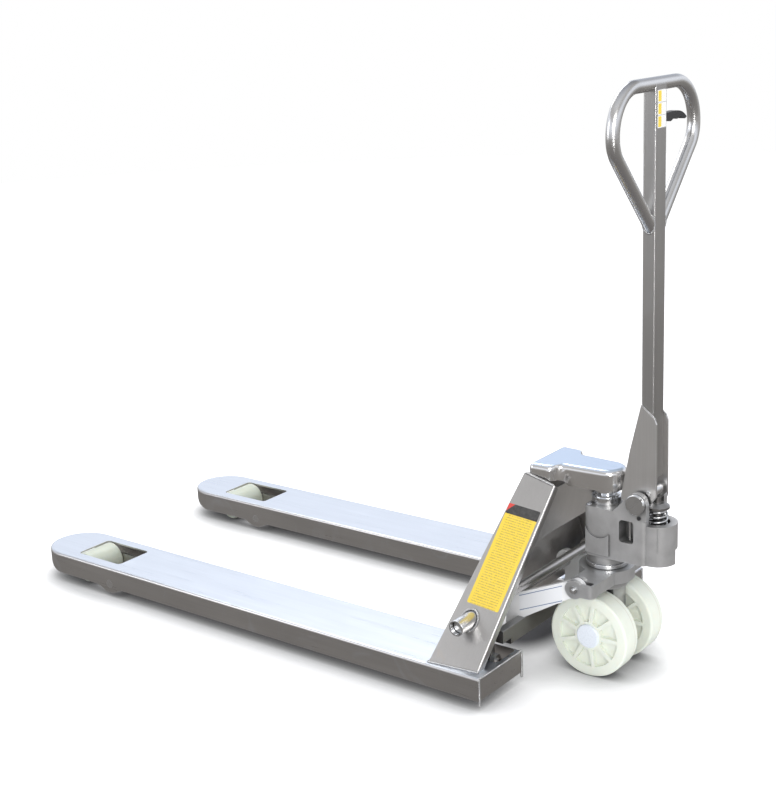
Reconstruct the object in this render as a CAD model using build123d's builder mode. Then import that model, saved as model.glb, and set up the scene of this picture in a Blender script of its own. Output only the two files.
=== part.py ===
import os
from math import asin, cos, degrees, hypot, radians, sin

from build123d import *

# A hand pallet truck: +X runs from the fork tips to the handle, +Y is the operator's right,
# +Z is up, and the origin lies on the floor under the middle of the truck.

# ---- driving dimensions, mm ----
fork_length = 1350.0
fork_spread = 685.0
fork_width = 160.0
fork_depth = 50.0
lowered_height = 75.0
lift_travel = 115.0
fork_sheet = 4.0
steer_setback = 98.0
pump_reach = 157.0
handle_height = 1224.0

steer_wheel_dia = 180.0
steer_wheel_width = 50.0
steer_wheel_gap = 60.0
load_roller_dia = 74.0
load_roller_width = 93.0

steer_axle_r = 12.5
carrier_gap = 4.0
carrier_foot_r = 30.0
circlip_lip = 4.0
tread_edge = 5.0
wheel_ribs = 9
rib_thick = 8.0
hub_r = 31.0
pocket_outer_r = 68.0
pocket_depth = 9.0
bearing_r = 23.5
bearing_width = 14.0
bearing_inset = 7.0
circlip_thick = 1.5
hub_cap_r = 26.0
hub_cap_thick = 4.0

running_fit = 0.05
side_gap = 0.5

# ---- places worked out from them ----
overall_length = fork_length + steer_setback + pump_reach
tip_x = -overall_length / 2
heel_x = tip_x + fork_length
steer_x = heel_x + steer_setback
rear_x = steer_x + pump_reach
fork_y = (fork_spread - fork_width) / 2
fork_bottom = lowered_height - fork_depth
fork_ceiling = lowered_height - fork_sheet

# ---- fork tips and their load rollers ----
nose_length = 90.0
nose_sweep = 112.0
nose_lip = 11.0
bend_radius = 6.0
opening_from_tip = 125.5
opening_length = 147.0
opening_side_gap = 3.0
opening_corner = 9.0
heel_opening_setback = 10.0
heel_opening_length = 112.0
heel_opening_width = 72.0
heel_opening_inset = 38.5
fork_ear_z = 12.0
fork_ear_length = 22.0
fork_ear_front = 41.0
fork_ear_rear = 42.0
fork_ear_overlap = 12.0
roller_from_tip = 142.0
bracket_span = lift_travel * 1.0783
bracket_axis_z = 34.0
bracket_shaft_r = 10.0
bracket_tube_wall = 5.0
bracket_plate = 6.0
bracket_plate_r = 15.0
ear_lever = 27.0
ear_pin_r = 6.0
ear_eye_r = 9.0
axle_r = 10.0
rod_inset = fork_spread * 0.0526
rod_r = 9.0
rod_neck = 24.0
rod_neck_depth = 13.0
rod_overrun = 30.0
rod_eye_width = 14.0
ear_gap = 1.0
ear_plate = 6.0
pin_overhang = 2.0
roller_edge = 4.0

roller_x = tip_x + roller_from_tip
roller_z = load_roller_dia / 2
bracket_x = tip_x + roller_from_tip + bracket_span
rod_y = fork_y - rod_inset
bracket_reach = hypot(bracket_x - roller_x, roller_z - bracket_axis_z)
bracket_start = degrees(asin((roller_z - bracket_axis_z) / bracket_reach))
bracket_drop = lift_travel - (roller_z - bracket_axis_z)
bracket_swing = bracket_start + degrees(asin(bracket_drop / bracket_reach))
ear_x = bracket_x + ear_lever * sin(radians(bracket_swing / 2))
ear_z = bracket_axis_z + ear_lever * cos(radians(bracket_swing / 2))
rod_travel = 2 * ear_lever * sin(radians(bracket_swing / 2))

# ---- rocker: long arms to the base bracket, cranks to the push rods ----
rocker_setback = 71.0
rocker_z = 156.0
arm_pin_setback = 168.0
arm_y = 120.0
arm_plate = 12.0
arm_eye_r = 19.0
arm_pin_r = 8.0
arm_slot_clear = 1.3
rocker_shaft_r = 12.5
rocker_eye_r = 24.0
crank_plate = 8.0
crank_eye_r = 13.0
crank_pin_r = 7.0
yoke_width = 14.0
yoke_gap = 1.0
yoke_length = 30.0
yoke_margin = 14.0
yoke_corner = 9.0
rod_nut_flats = 30.0
rod_nut_thick = 10.0
beam_width = 20.0
beam_depth = 40.0
beam_end_rise = 12.0
beam_corner = 3.0
beam_advance = 35.0
beam_drop = 56.0
beam_inset = 46.0

rocker_x = heel_x - rocker_setback
arm_pin_x = rocker_x + arm_pin_setback
arm_pin_z = rocker_z + lift_travel / 2
arm_reach = hypot(arm_pin_setback, lift_travel / 2)
rocker_swing = 2 * degrees(asin(lift_travel / 2 / arm_reach))
crank_lever = rod_travel / (2 * sin(radians(rocker_swing / 2)))
crank_x = rocker_x + crank_lever * sin(radians(rocker_swing / 2))
crank_z = rocker_z - crank_lever * cos(radians(rocker_swing / 2))
crank_dip = crank_lever * (1 - cos(radians(rocker_swing / 2)))
ear_rise = ear_lever * (1 - cos(radians(bracket_swing / 2)))

# ---- chassis ----
plate_thick = 5.0
heel_step = 0.4
foot_front_setback = 130.0
foot_rear_setback = 16.0
foot_front_inset = 11.5
foot_rear_inset = 23.5
mast_front_setback = 55.0
mast_front_z = 420.0
mast_rear_advance = 21.0
mast_rear_z = 405.0
mast_half_width = 75.0
rear_flange = 18.0
front_flange = 11.0
boss_r = 17.0
boss_bore_r = 14.0
boss_overhang = 28.0
shaft_recess = 12.0
boss_inset = 12.0
boss_rim = 1.0
bush_length = 30.0
tie_setback = 18.0
tie_z = 203.0
tie_r = 10.0
tie_wall = 2.5
front_sheet = 4.0
rear_sheet = 4.0
rear_sheet_setback = 9.0
sheet_margin = 6.0
doubler_low_z = 295.0
bonnet_height = 36.0
bonnet_wall = 6.0
bonnet_edge = 11.0
bonnet_top_z = 441.0
bonnet_front_setback = 50.0
bonnet_half_width = 71.0
neck_half_width = 43.0
nose_r = 39.0
ram_r = 17.0
ram_cup_r = 26.0
ram_cup_z = 388.0

# ---- base bracket (crosshead) ----
base_low_z = 200.0
base_thick = 27.0
base_disc_r = 58.0
spindle_r = 25.0
race_r = 44.0
race_thick = 10.0
cheek_thick = 9.0
cheek_r = 20.0
arm_gap = 1.0
base_wing_depth = 60.0
base_wing_rear = 12.0
base_wing_corner = 10.0
slot_front = 56.0
slot_rear = 36.0
nipple_r = 3.5
nipple_length = 6.0
race_edge = 2.0

# ---- pump unit ----
collar_low_z = base_low_z + base_thick + race_thick + side_gap
body_low_z = 256.0
deck_z = 363.0
body_half_width = 45.0
body_front = -30.0
body_rear = 114.0
ear_thick = 13.0
pivot_reach = 92.0
pivot_z = 387.0
pivot_r = 9.0
plunger_reach = 116.0
plunger_r = 7.0
plunger_top_z = 394.4
plunger_travel = 31.5
spring_r = 19.0
spring_wire_r = 2.5
spring_turns = 4
spring_cap_r = 24.5
spring_cap_z = 371.0
spring_seat_z = 322.0
barrel_r = pump_reach - plunger_reach
barrel_top_z = 342.0
barrel_low_z = 257.0
ram_cap_r = 31.0
ram_cap_z = 384.0
ram_cap_step = 6.0
ram_cap_lip = 3.0
ram_depth = 95.0
ram_head = 23.0
ram_edge = 4.0
bolt_head_r = 21.0
bolt_head_thick = 9.0
bolt_edge = 2.0
bolt_slot = 4.0
plunger_depth = 28.0
spring_cap_rim = 5.0
spring_cap_dome = 6.0
spring_gap = 0.6
release_r = 3.0
release_low_z = 303.0
release_length = 40.0
release_inset = 12.0
release_reach = 72.0
plug_r = 4.0
plug_thick = 2.0
valve_cap_thick = 3.0

# ---- handle ----
tube_reach = 103.0
tube_depth = 28.0
tube_width = 43.0
tube_wall = 2.5
tube_corner = 4.0
tube_low_z = 437.0
loop_r = 13.0
loop_half_width = 162.0
loop_foot_y = 15.0
loop_foot_bend = 60.0
loop_foot_clear = 60.0
loop_bend = 84.0
loop_knee_z = 1102.0
loop_foot_z = 943.0
handle_plate = 5.0
handle_tilt = 75.0
press_roller_r = 12.0
press_roller_x = 17.0
press_roller_z = 20.0
lever_z = 1148.0
lever_length = 96.0
lever_thick = 14.0
lever_swing = 14.0
lever_pin_y = 12.0
lever_pin_r = 2.5
lever_root_r = 6.0
lever_slot_height = 34.0
lever_slot_gap = 1.0
press_pin_r = 5.0
press_roller_width = 28.0
control_rod_r = 3.0
control_rod_foot = 20.0
control_rod_head = 40.0

pivot_x = steer_x + pivot_reach
plunger_x = steer_x + plunger_reach
tube_x = steer_x + tube_reach
loop_z = handle_height - loop_r

os.makedirs("parts", exist_ok=True)


def save(built, label):
    built.part.label = label
    export_step(built.part, f"parts/{label}.step")


def side_name(side):
    return "left" if side < 0 else "right"


# ---------------------------------------------------------------- forks
def fork(side):
    centre_y = side * fork_y
    straight = heel_x - tip_x - nose_length
    with BuildPart() as channel:
        with BuildSketch(Plane.XY.offset(fork_bottom)):
            with Locations((heel_x - straight / 2, centre_y)):
                Rectangle(straight, fork_width)
            with Locations((tip_x + nose_length, centre_y)):
                Ellipse(nose_length, fork_width / 2)
        extrude(amount=fork_depth)
        top_edges = channel.faces().sort_by(Axis.Z)[-1].edges().sort_by(Axis.X)[:-1]
        fillet(top_edges, radius=bend_radius)
        with BuildSketch(Plane.XY.offset(fork_bottom)):
            with Locations((heel_x - fork_sheet - (straight - fork_sheet) / 2, centre_y)):
                Rectangle(straight - fork_sheet, fork_width - 2 * fork_sheet)
            with Locations((tip_x + nose_length, centre_y)):
                Ellipse(nose_length - fork_sheet, fork_width / 2 - fork_sheet)
        extrude(amount=fork_depth - fork_sheet, mode=Mode.SUBTRACT)
        # the underside of the nose sweeps up to a thin lip
        with BuildSketch(Plane.XZ.offset(-centre_y)):
            with BuildLine():
                lip = (tip_x - 1, lowered_height - nose_lip)
                middle = (tip_x + nose_sweep * 0.33, fork_bottom + fork_depth * 0.25)
                run_out = (tip_x + nose_sweep, fork_bottom)
                ThreePointArc(lip, middle, run_out)
                Polyline(run_out, (tip_x + nose_sweep, 0), (tip_x - 1, 0), lip)
            make_face()
        extrude(amount=fork_width, both=True, mode=Mode.SUBTRACT)
        # opening over the load roller
        with BuildSketch(Plane.XY.offset(lowered_height)):
            with Locations((tip_x + opening_from_tip + opening_length / 2, centre_y)):
                RectangleRounded(opening_length, load_roller_width + 2 * opening_side_gap, opening_corner)
        extrude(amount=-fork_sheet - 1, mode=Mode.SUBTRACT)
        # the heel's top lies a hair below the load face, under the frame's feet
        heel_length = foot_front_setback + 4
        with BuildSketch(Plane.XY.offset(lowered_height)):
            with Locations((heel_x - heel_length / 2, centre_y)):
                Rectangle(heel_length, fork_width + 2)
        extrude(amount=-heel_step, mode=Mode.SUBTRACT)
        # open top of the heel, inboard of the side plate
        with BuildSketch(Plane.XY.offset(lowered_height)):
            with Locations((
                heel_x - heel_opening_setback - heel_opening_length / 2,
                side * (fork_y - heel_opening_inset),
            )):
                RectangleRounded(heel_opening_length, heel_opening_width, opening_corner)
        extrude(amount=-fork_sheet - 1, mode=Mode.SUBTRACT)
        # ears that carry the roller bracket's shaft, one on each side wall
        with BuildSketch(Plane.XZ.offset(-centre_y)):
            with BuildLine():
                Polyline(
                    (bracket_x - fork_ear_front, fork_bottom),
                    (bracket_x - fork_ear_length / 2, fork_ear_z),
                    (bracket_x + fork_ear_length / 2, fork_ear_z),
                    (bracket_x + fork_ear_rear, fork_bottom),
                    (bracket_x + fork_ear_rear, fork_bottom + fork_ear_overlap),
                    (bracket_x - fork_ear_front, fork_bottom + fork_ear_overlap),
                    close=True,
                )
            make_face()
        extrude(amount=fork_width / 2, both=True)
        with BuildSketch(Plane.XZ.offset(-centre_y)):
            with Locations((bracket_x, fork_bottom)):
                Rectangle(fork_width, fork_depth)
        extrude(amount=fork_width / 2 - fork_sheet, both=True, mode=Mode.SUBTRACT)
        with BuildSketch(Plane.XZ.offset(-centre_y)):
            with Locations((bracket_x, bracket_axis_z)):
                Circle(bracket_shaft_r)
        extrude(amount=fork_width / 2 + 1, both=True, mode=Mode.SUBTRACT)
    return channel


def bracket_shafts():
    with BuildPart() as shafts:
        for side in (-1, 1):
            with BuildSketch(Plane.XZ.offset(-side * fork_y)):
                with Locations((bracket_x, bracket_axis_z)):
                    Circle(bracket_shaft_r)
            extrude(amount=fork_width / 2, both=True)
    return shafts


# ---------------------------------------------------------------- load roller brackets
def roller_bracket(side):
    centre_y = side * fork_y
    plate_in = load_roller_width / 2 + 2 * side_gap
    lug_in = rod_eye_width / 2 + ear_gap
    with BuildPart() as bracket:
        with BuildSketch(Plane.XZ.offset(-centre_y)):
            with Locations((bracket_x, bracket_axis_z), (roller_x, roller_z)):
                Circle(bracket_plate_r)
            make_hull()
        extrude(amount=plate_in + bracket_plate, both=True)
        with BuildSketch(Plane.XZ.offset(-centre_y)):
            with Locations((bracket_x, bracket_axis_z)):
                Circle(bracket_reach + 2 * bracket_plate_r)
        extrude(amount=plate_in, both=True, mode=Mode.SUBTRACT)
        # clevis lugs for the push rod, above the pivot tube
        lug_y = side * rod_y
        with BuildSketch(Plane.XZ.offset(-lug_y)):
            with Locations((bracket_x, bracket_axis_z), (ear_x, ear_z)):
                Circle(ear_eye_r)
            make_hull()
        extrude(amount=lug_in + ear_plate, both=True)
        with BuildSketch(Plane.XZ.offset(-lug_y)):
            with Locations((ear_x, ear_z)):
                Circle(ear_lever + ear_eye_r)
        extrude(amount=lug_in, both=True, mode=Mode.SUBTRACT)
        # pivot tube across the bracket
        with BuildSketch(Plane.XZ.offset(-centre_y)):
            with Locations((bracket_x, bracket_axis_z)):
                Circle(bracket_shaft_r + running_fit + bracket_tube_wall)
        extrude(amount=plate_in, both=True)
        with BuildSketch(Plane.XZ.offset(-centre_y)):
            with Locations((bracket_x, bracket_axis_z)):
                Circle(bracket_shaft_r + running_fit)
            with Locations((roller_x, roller_z)):
                Circle(axle_r)
        extrude(amount=fork_width, both=True, mode=Mode.SUBTRACT)
        with BuildSketch(Plane.XZ.offset(-lug_y)):
            with Locations((ear_x, ear_z)):
                Circle(ear_pin_r)
        extrude(amount=lug_in + ear_plate + 1, both=True, mode=Mode.SUBTRACT)
    return bracket


def bracket_pins(side):
    lug_in = rod_eye_width / 2 + ear_gap
    plate_in = load_roller_width / 2 + 2 * side_gap
    with BuildPart() as pins:
        with BuildSketch(Plane.XZ.offset(-side * fork_y)):
            with Locations((roller_x, roller_z)):
                Circle(axle_r)
        extrude(amount=plate_in + bracket_plate + pin_overhang, both=True)
        with BuildSketch(Plane.XZ.offset(-side * rod_y)):
            with Locations((ear_x, ear_z)):
                Circle(ear_pin_r)
        extrude(amount=lug_in + ear_plate + pin_overhang / 2, both=True)
    return pins


def load_roller(side):
    with BuildPart() as roller:
        with BuildSketch(Plane.XZ.offset(-side * fork_y)):
            with Locations((roller_x, roller_z)):
                Circle(load_roller_dia / 2)
        extrude(amount=load_roller_width / 2, both=True)
        fillet(roller.edges().filter_by(GeomType.CIRCLE), radius=roller_edge)
        with BuildSketch(Plane.XZ.offset(-side * fork_y)):
            with Locations((roller_x, roller_z)):
                Circle(axle_r + running_fit)
        extrude(amount=load_roller_width, both=True, mode=Mode.SUBTRACT)
    return roller


def push_rod(side):
    with BuildPart() as rod:
        with BuildSketch(Plane.YZ.offset(ear_x + rod_neck)):
            with Locations((side * rod_y, ear_z)):
                Circle(rod_r)
        extrude(amount=crank_x + rod_overrun - ear_x - rod_neck)
        # front eye on a flat neck
        with BuildSketch(Plane.XZ.offset(-side * rod_y)):
            with Locations((ear_x, ear_z)):
                Circle(ear_eye_r)
            with Locations((ear_x + rod_neck / 2, ear_z)):
                Rectangle(rod_neck, rod_neck_depth)
        extrude(amount=rod_eye_width / 2, both=True)
        with BuildSketch(Plane.XZ.offset(-side * rod_y)):
            with Locations((ear_x, ear_z)):
                Circle(ear_pin_r + running_fit)
        extrude(amount=rod_eye_width, both=True, mode=Mode.SUBTRACT)
    return rod


def push_rod_yoke(side):
    slot_drop = crank_dip + ear_rise
    with BuildPart() as yoke:
        with BuildSketch(Plane.XZ.offset(-side * rod_y)):
            with Locations((crank_x, (ear_z + crank_z) / 2)):
                RectangleRounded(yoke_length, crank_z - ear_z + 2 * yoke_margin, yoke_corner)
        extrude(amount=yoke_width / 2, both=True)
        with BuildSketch(Plane.YZ.offset(crank_x)):
            with Locations((side * rod_y, ear_z)):
                Circle(yoke_margin)
        extrude(amount=yoke_length / 2, both=True)
        with BuildSketch(Plane.YZ.offset(crank_x)):
            with Locations((side * rod_y, ear_z)):
                Circle(rod_r)
        extrude(amount=yoke_length, both=True, mode=Mode.SUBTRACT)
        # the open pivot: a slot for the crank pin, as tall as the pin's path
        with BuildSketch(Plane.XZ.offset(-side * rod_y)):
            with Locations((crank_x, crank_z - slot_drop / 2)):
                SlotCenterToCenter(slot_drop, 2 * (crank_pin_r + arm_slot_clear), rotation=90)
        extrude(amount=yoke_width, both=True, mode=Mode.SUBTRACT)
    return yoke


def push_rod_nuts(side):
    with BuildPart() as nuts:
        for face_x in (crank_x - yoke_length / 2 - rod_nut_thick, crank_x + yoke_length / 2):
            with BuildSketch(Plane.YZ.offset(face_x)):
                with Locations((side * rod_y, ear_z)):
                    RegularPolygon(rod_nut_flats / 2, 6, major_radius=False)
                    Circle(rod_r, mode=Mode.SUBTRACT)
            extrude(amount=rod_nut_thick)
    return nuts


# ---------------------------------------------------------------- rocker
def rocker_shaft():
    end_y = boss_end_y() - shaft_recess
    with BuildPart() as shaft:
        with BuildSketch(Plane.XZ):
            with Locations((rocker_x, rocker_z)):
                Circle(rocker_shaft_r)
        extrude(amount=end_y, both=True)
    return shaft


def arm_outline():
    return [
        (rocker_x, rocker_z + 4),
        (arm_pin_x - 26, arm_pin_z + 8),
        (arm_pin_x - 6, arm_pin_z + arm_eye_r - 1),
        (arm_pin_x + 4, arm_pin_z - arm_eye_r + 1),
        (arm_pin_x - 18, arm_pin_z - 28),
        (rocker_x + 11, rocker_z - 55),
        (rocker_x - 4, rocker_z - 64),
    ]


def rocker_arm(side):
    swing_half = rocker_swing / 2
    direction = (arm_pin_setback / arm_reach, lift_travel / 2 / arm_reach)
    slot_near = arm_pin_setback - 0.5
    slot_far = arm_reach + 0.5
    slot_mid = (slot_near + slot_far) / 2
    slot_x = rocker_x + direction[0] * slot_mid
    slot_z = rocker_z + direction[1] * slot_mid
    with BuildPart() as arm:
        with BuildSketch(Plane.XZ.offset(-side * arm_y)):
            with Locations((rocker_x, rocker_z)):
                Circle(rocker_eye_r)
            with BuildLine():
                Polyline(*arm_outline(), close=True)
            make_face()
            with Locations((arm_pin_x, arm_pin_z)):
                Circle(arm_eye_r)
        extrude(amount=arm_plate / 2, both=True)
        with BuildSketch(Plane.XZ.offset(-side * arm_y)):
            with Locations((rocker_x, rocker_z)):
                Circle(rocker_shaft_r)
            with Locations((slot_x, slot_z)):
                SlotCenterToCenter(
                    slot_far - slot_near, 2 * (arm_pin_r + arm_slot_clear), rotation=swing_half
                )
        extrude(amount=arm_plate, both=True, mode=Mode.SUBTRACT)
    return arm


def rocker_beam():
    with BuildPart() as beam:
        with BuildSketch(Plane.XZ):
            with Locations((rocker_x + beam_advance, rocker_z - beam_drop)):
                RectangleRounded(beam_width, beam_depth, beam_corner)
        extrude(amount=rod_y - beam_inset, both=True)
        # shallower ends reach over the forks to the cranks
        with BuildSketch(Plane.XZ):
            with Locations((rocker_x + beam_advance, rocker_z - beam_drop + beam_end_rise / 2)):
                RectangleRounded(beam_width, beam_depth - beam_end_rise, beam_corner)
        extrude(amount=rod_y - yoke_width / 2 - yoke_gap - crank_plate, both=True)
        for side in (-1, 1):
            with BuildSketch(Plane.XZ.offset(-side * arm_y)):
                with BuildLine():
                    Polyline(*arm_outline(), close=True)
                make_face()
            extrude(amount=arm_plate / 2, both=True, mode=Mode.SUBTRACT)
    return beam


def rocker_cranks():
    inner = yoke_width / 2 + yoke_gap
    with BuildPart() as cranks:
        for side in (-1, 1):
            with BuildSketch(Plane.XZ.offset(-side * rod_y)):
                with Locations((rocker_x, rocker_z)):
                    Circle(rocker_eye_r - crank_plate / 2)
                with Locations((crank_x, crank_z)):
                    Circle(crank_eye_r)
                make_hull()
                with Locations((rocker_x, rocker_z)):
                    Circle(rocker_shaft_r, mode=Mode.SUBTRACT)
                with Locations((crank_x, crank_z)):
                    Circle(crank_pin_r, mode=Mode.SUBTRACT)
            extrude(amount=inner + crank_plate, both=True)
            with BuildSketch(Plane.XZ.offset(-side * rod_y)):
                with Locations((rocker_x, rocker_z)):
                    Circle(crank_lever + rocker_eye_r)
            extrude(amount=inner, both=True, mode=Mode.SUBTRACT)
    return cranks


def crank_pins():
    inner = yoke_width / 2 + yoke_gap
    with BuildPart() as pins:
        for side in (-1, 1):
            with BuildSketch(Plane.XZ.offset(-side * rod_y)):
                with Locations((crank_x, crank_z)):
                    Circle(crank_pin_r)
            extrude(amount=inner + crank_plate + pin_overhang / 2, both=True)
    return pins


# ---------------------------------------------------------------- chassis frame
def frame_corners(side):
    # front foot, rear foot and front top of the side plate's outer face
    foot_z = lowered_height - heel_step
    half = fork_spread / 2
    front_foot = Vector(heel_x - foot_front_setback, side * (half - foot_front_inset), foot_z)
    rear_foot = Vector(heel_x - foot_rear_setback, side * (half - foot_rear_inset), foot_z)
    front_top = Vector(heel_x - mast_front_setback, side * mast_half_width, mast_front_z)
    return front_foot, rear_foot, front_top


def frame_plane(side):
    front_foot, rear_foot, front_top = frame_corners(side)
    along = rear_foot - front_foot
    normal = along.cross(front_top - front_foot) * (-side)
    return Plane(origin=front_foot, x_dir=along, z_dir=normal)


def plate_y(side, x, z):
    # Y of the side plate's outer face at a place in the XZ plane
    plane = frame_plane(side)
    run = Vector(x, 0, z) - Vector(plane.origin.X, 0, plane.origin.Z)
    return plane.origin.Y - (plane.z_dir.X * run.X + plane.z_dir.Z * run.Z) / plane.z_dir.Y


def boss_end_y():
    return fork_spread / 2 - boss_overhang


def side_plate(side):
    plane = frame_plane(side)
    corners = list(frame_corners(side))
    rear_top_x = heel_x + mast_rear_advance
    rear_top = Vector(rear_top_x, plate_y(side, rear_top_x, mast_rear_z), mast_rear_z)
    corners.insert(2, rear_top)
    outline = [(p.X, p.Y) for p in (plane.to_local_coords(c) for c in corners)]
    front_foot, rear_foot, rear_top, front_top = outline
    with BuildPart() as plate:
        with BuildSketch(plane):
            with BuildLine():
                Polyline(*outline, close=True)
            make_face()
        extrude(amount=-plate_thick)
        with BuildSketch(plane):
            with BuildLine():
                Polyline(
                    rear_foot,
                    rear_top,
                    (rear_top[0] - plate_thick, rear_top[1]),
                    (rear_foot[0] - plate_thick, rear_foot[1]),
                    close=True,
                )
            make_face()
        extrude(amount=-rear_flange)
        with BuildSketch(plane):
            with BuildLine():
                Polyline(
                    front_foot,
                    front_top,
                    (front_top[0] + plate_thick, front_top[1]),
                    (front_foot[0] + plate_thick, front_foot[1]),
                    close=True,
                )
            make_face()
        extrude(amount=-front_flange)
        outer = plate.faces().sort_by(SortBy.AREA)[-1]
        bends = outer.edges().sort_by(Axis.X)
        fillet([bends[-1]], radius=plate_thick - 0.5)
        # foot trimmed flush with the fork's top
        with BuildSketch(Plane.XY.offset(lowered_height - heel_step)):
            with Locations((heel_x, side * fork_y)):
                Rectangle(fork_length, fork_width * 2)
        extrude(amount=-lowered_height, mode=Mode.SUBTRACT)
        with BuildSketch(Plane.XZ):
            with Locations((rocker_x, rocker_z)):
                Circle(boss_r)
        extrude(amount=-side * fork_spread, mode=Mode.SUBTRACT)
    return plate


def front_plate():
    front_foot, rear_foot, front_top = frame_corners(1)
    along = Vector(front_top.X - front_foot.X, 0, front_top.Z - front_foot.Z)
    low = Vector(front_foot.X, 0, front_foot.Z) + along.normalized() * sheet_margin
    height = along.length - 2 * sheet_margin
    plane = Plane(origin=low, x_dir=(0, 1, 0), z_dir=(along.Z, 0, -along.X))
    with BuildPart() as plate:
        with BuildSketch(plane):
            with Locations((0, height / 2)):
                Rectangle(fork_spread, height)
        extrude(amount=front_sheet)
        for side in (-1, 1):
            with BuildSketch(frame_plane(side).offset(-front_flange)):
                Rectangle(fork_length, fork_length)
            extrude(amount=fork_spread, mode=Mode.SUBTRACT)
    return plate


def rear_plate():
    # doubler across the rear flanges, from its low edge up to the bonnet
    slope = (foot_rear_setback + mast_rear_advance) / (mast_rear_z - lowered_height)
    low_x = heel_x - foot_rear_setback - rear_sheet_setback + slope * (doubler_low_z - lowered_height)
    height = (mast_rear_z - 2 * sheet_margin - doubler_low_z) * hypot(1, slope)
    plane = Plane(origin=(low_x, 0, doubler_low_z), x_dir=(0, 1, 0), z_dir=(1, 0, -slope))
    with BuildPart() as plate:
        with BuildSketch(plane):
            with Locations((0, height / 2)):
                Rectangle(fork_spread, height)
        extrude(amount=-rear_sheet)
        for side in (-1, 1):
            with BuildSketch(frame_plane(side).offset(-plate_thick)):
                Rectangle(fork_length, fork_length)
            extrude(amount=fork_spread, mode=Mode.SUBTRACT)
    return plate


def tie_tube():
    with BuildPart() as tube:
        with BuildSketch(Plane.XZ):
            with Locations((heel_x - tie_setback, tie_z)):
                Circle(tie_r)
                Circle(tie_r - tie_wall, mode=Mode.SUBTRACT)
        extrude(amount=fork_spread / 2, both=True)
        for side in (-1, 1):
            with BuildSketch(frame_plane(side).offset(-plate_thick)):
                Rectangle(fork_length, fork_length)
            extrude(amount=fork_spread, mode=Mode.SUBTRACT)
    return tube


def rocker_bosses():
    inner_y = abs(plate_y(-1, rocker_x, rocker_z)) - boss_inset
    with BuildPart() as bosses:
        for side in (-1, 1):
            with BuildSketch(Plane.XZ.offset(-side * inner_y)):
                with Locations((rocker_x, rocker_z)):
                    Circle(boss_r)
                    Circle(boss_bore_r, mode=Mode.SUBTRACT)
            extrude(amount=-side * (boss_end_y() - inner_y))
        rims = bosses.edges().filter_by(GeomType.CIRCLE)
        fillet([rim for rim in rims if rim.radius > boss_bore_r], radius=boss_rim)
    return bosses


def rocker_bushes():
    inner_y = abs(plate_y(-1, rocker_x, rocker_z)) - boss_inset
    with BuildPart() as bushes:
        for side in (-1, 1):
            with BuildSketch(Plane.XZ.offset(-side * inner_y)):
                with Locations((rocker_x, rocker_z)):
                    Circle(boss_bore_r)
                    Circle(rocker_shaft_r + running_fit, mode=Mode.SUBTRACT)
            extrude(amount=-side * bush_length)
    return bushes


def bonnet_outline(grow):
    front = heel_x - bonnet_front_setback - grow
    half = bonnet_half_width + grow
    neck = neck_half_width + grow
    nose = nose_r + grow
    with BuildLine(mode=Mode.PRIVATE) as outline:
        shoulder = Line((front + 12, -half), (heel_x - 6, -half + 2))
        step = Spline(
            shoulder @ 1,
            (heel_x + 10, -neck - 8),
            (heel_x + 26, -neck),
            tangents=[(1, 0.05), (1, 0.12)],
        )
        flank = Line(step @ 1, (steer_x + 2, -nose))
        ThreePointArc(flank @ 1, (steer_x + 2 + nose, 0), (steer_x + 2, nose))
        Line((steer_x + 2, nose), (heel_x + 26, neck))
        Spline(
            (heel_x + 26, neck),
            (heel_x + 10, neck + 8),
            (heel_x - 6, half - 2),
            tangents=[(-1, 0.12), (-1, 0.05)],
        )
        Line((heel_x - 6, half - 2), (front + 12, half))
        ThreePointArc((front + 12, half), (front + 3.5, half - 3.5), (front, half - 12))
        Line((front, half - 12), (front, -half + 12))
        ThreePointArc((front, -half + 12), (front + 3.5, -half + 3.5), (front + 12, -half))
    return make_face(outline.line.edges(), mode=Mode.PRIVATE)


def bonnet():
    low_z = bonnet_top_z - bonnet_height - 8
    with BuildPart() as cap:
        with BuildSketch(Plane.XY.offset(low_z)):
            add(bonnet_outline(0))
        extrude(amount=bonnet_top_z - low_z)
        fillet(cap.faces().sort_by(Axis.Z)[-1].edges(), radius=bonnet_edge)
        with BuildSketch(Plane.XY.offset(low_z)):
            add(bonnet_outline(-bonnet_wall))
        extrude(amount=bonnet_top_z - low_z - bonnet_wall, mode=Mode.SUBTRACT)
        # the rim follows the slope of the side plates' tops
        with BuildSketch(Plane.XZ):
            with BuildLine():
                Polyline(
                    (heel_x - mast_front_setback - 30, low_z - 1),
                    (heel_x + mast_rear_advance + 12, low_z - 1),
                    (heel_x + mast_rear_advance, mast_rear_z + side_gap),
                    (heel_x - mast_front_setback, mast_front_z + side_gap),
                    (heel_x - mast_front_setback - 30, mast_front_z + side_gap),
                    close=True,
                )
            make_face()
        extrude(amount=fork_width, both=True, mode=Mode.SUBTRACT)
        # cup that the ram's head sits in
        with BuildSketch(Plane.XY.offset(ram_cup_z)):
            with Locations((steer_x, 0)):
                Circle(ram_cup_r)
        extrude(amount=bonnet_top_z - bonnet_wall + 1 - ram_cup_z)
        with BuildSketch(Plane.XY.offset(ram_cup_z)):
            with Locations((steer_x, 0)):
                Circle(ram_r + side_gap)
        extrude(amount=24, mode=Mode.SUBTRACT)
    return cap


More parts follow.
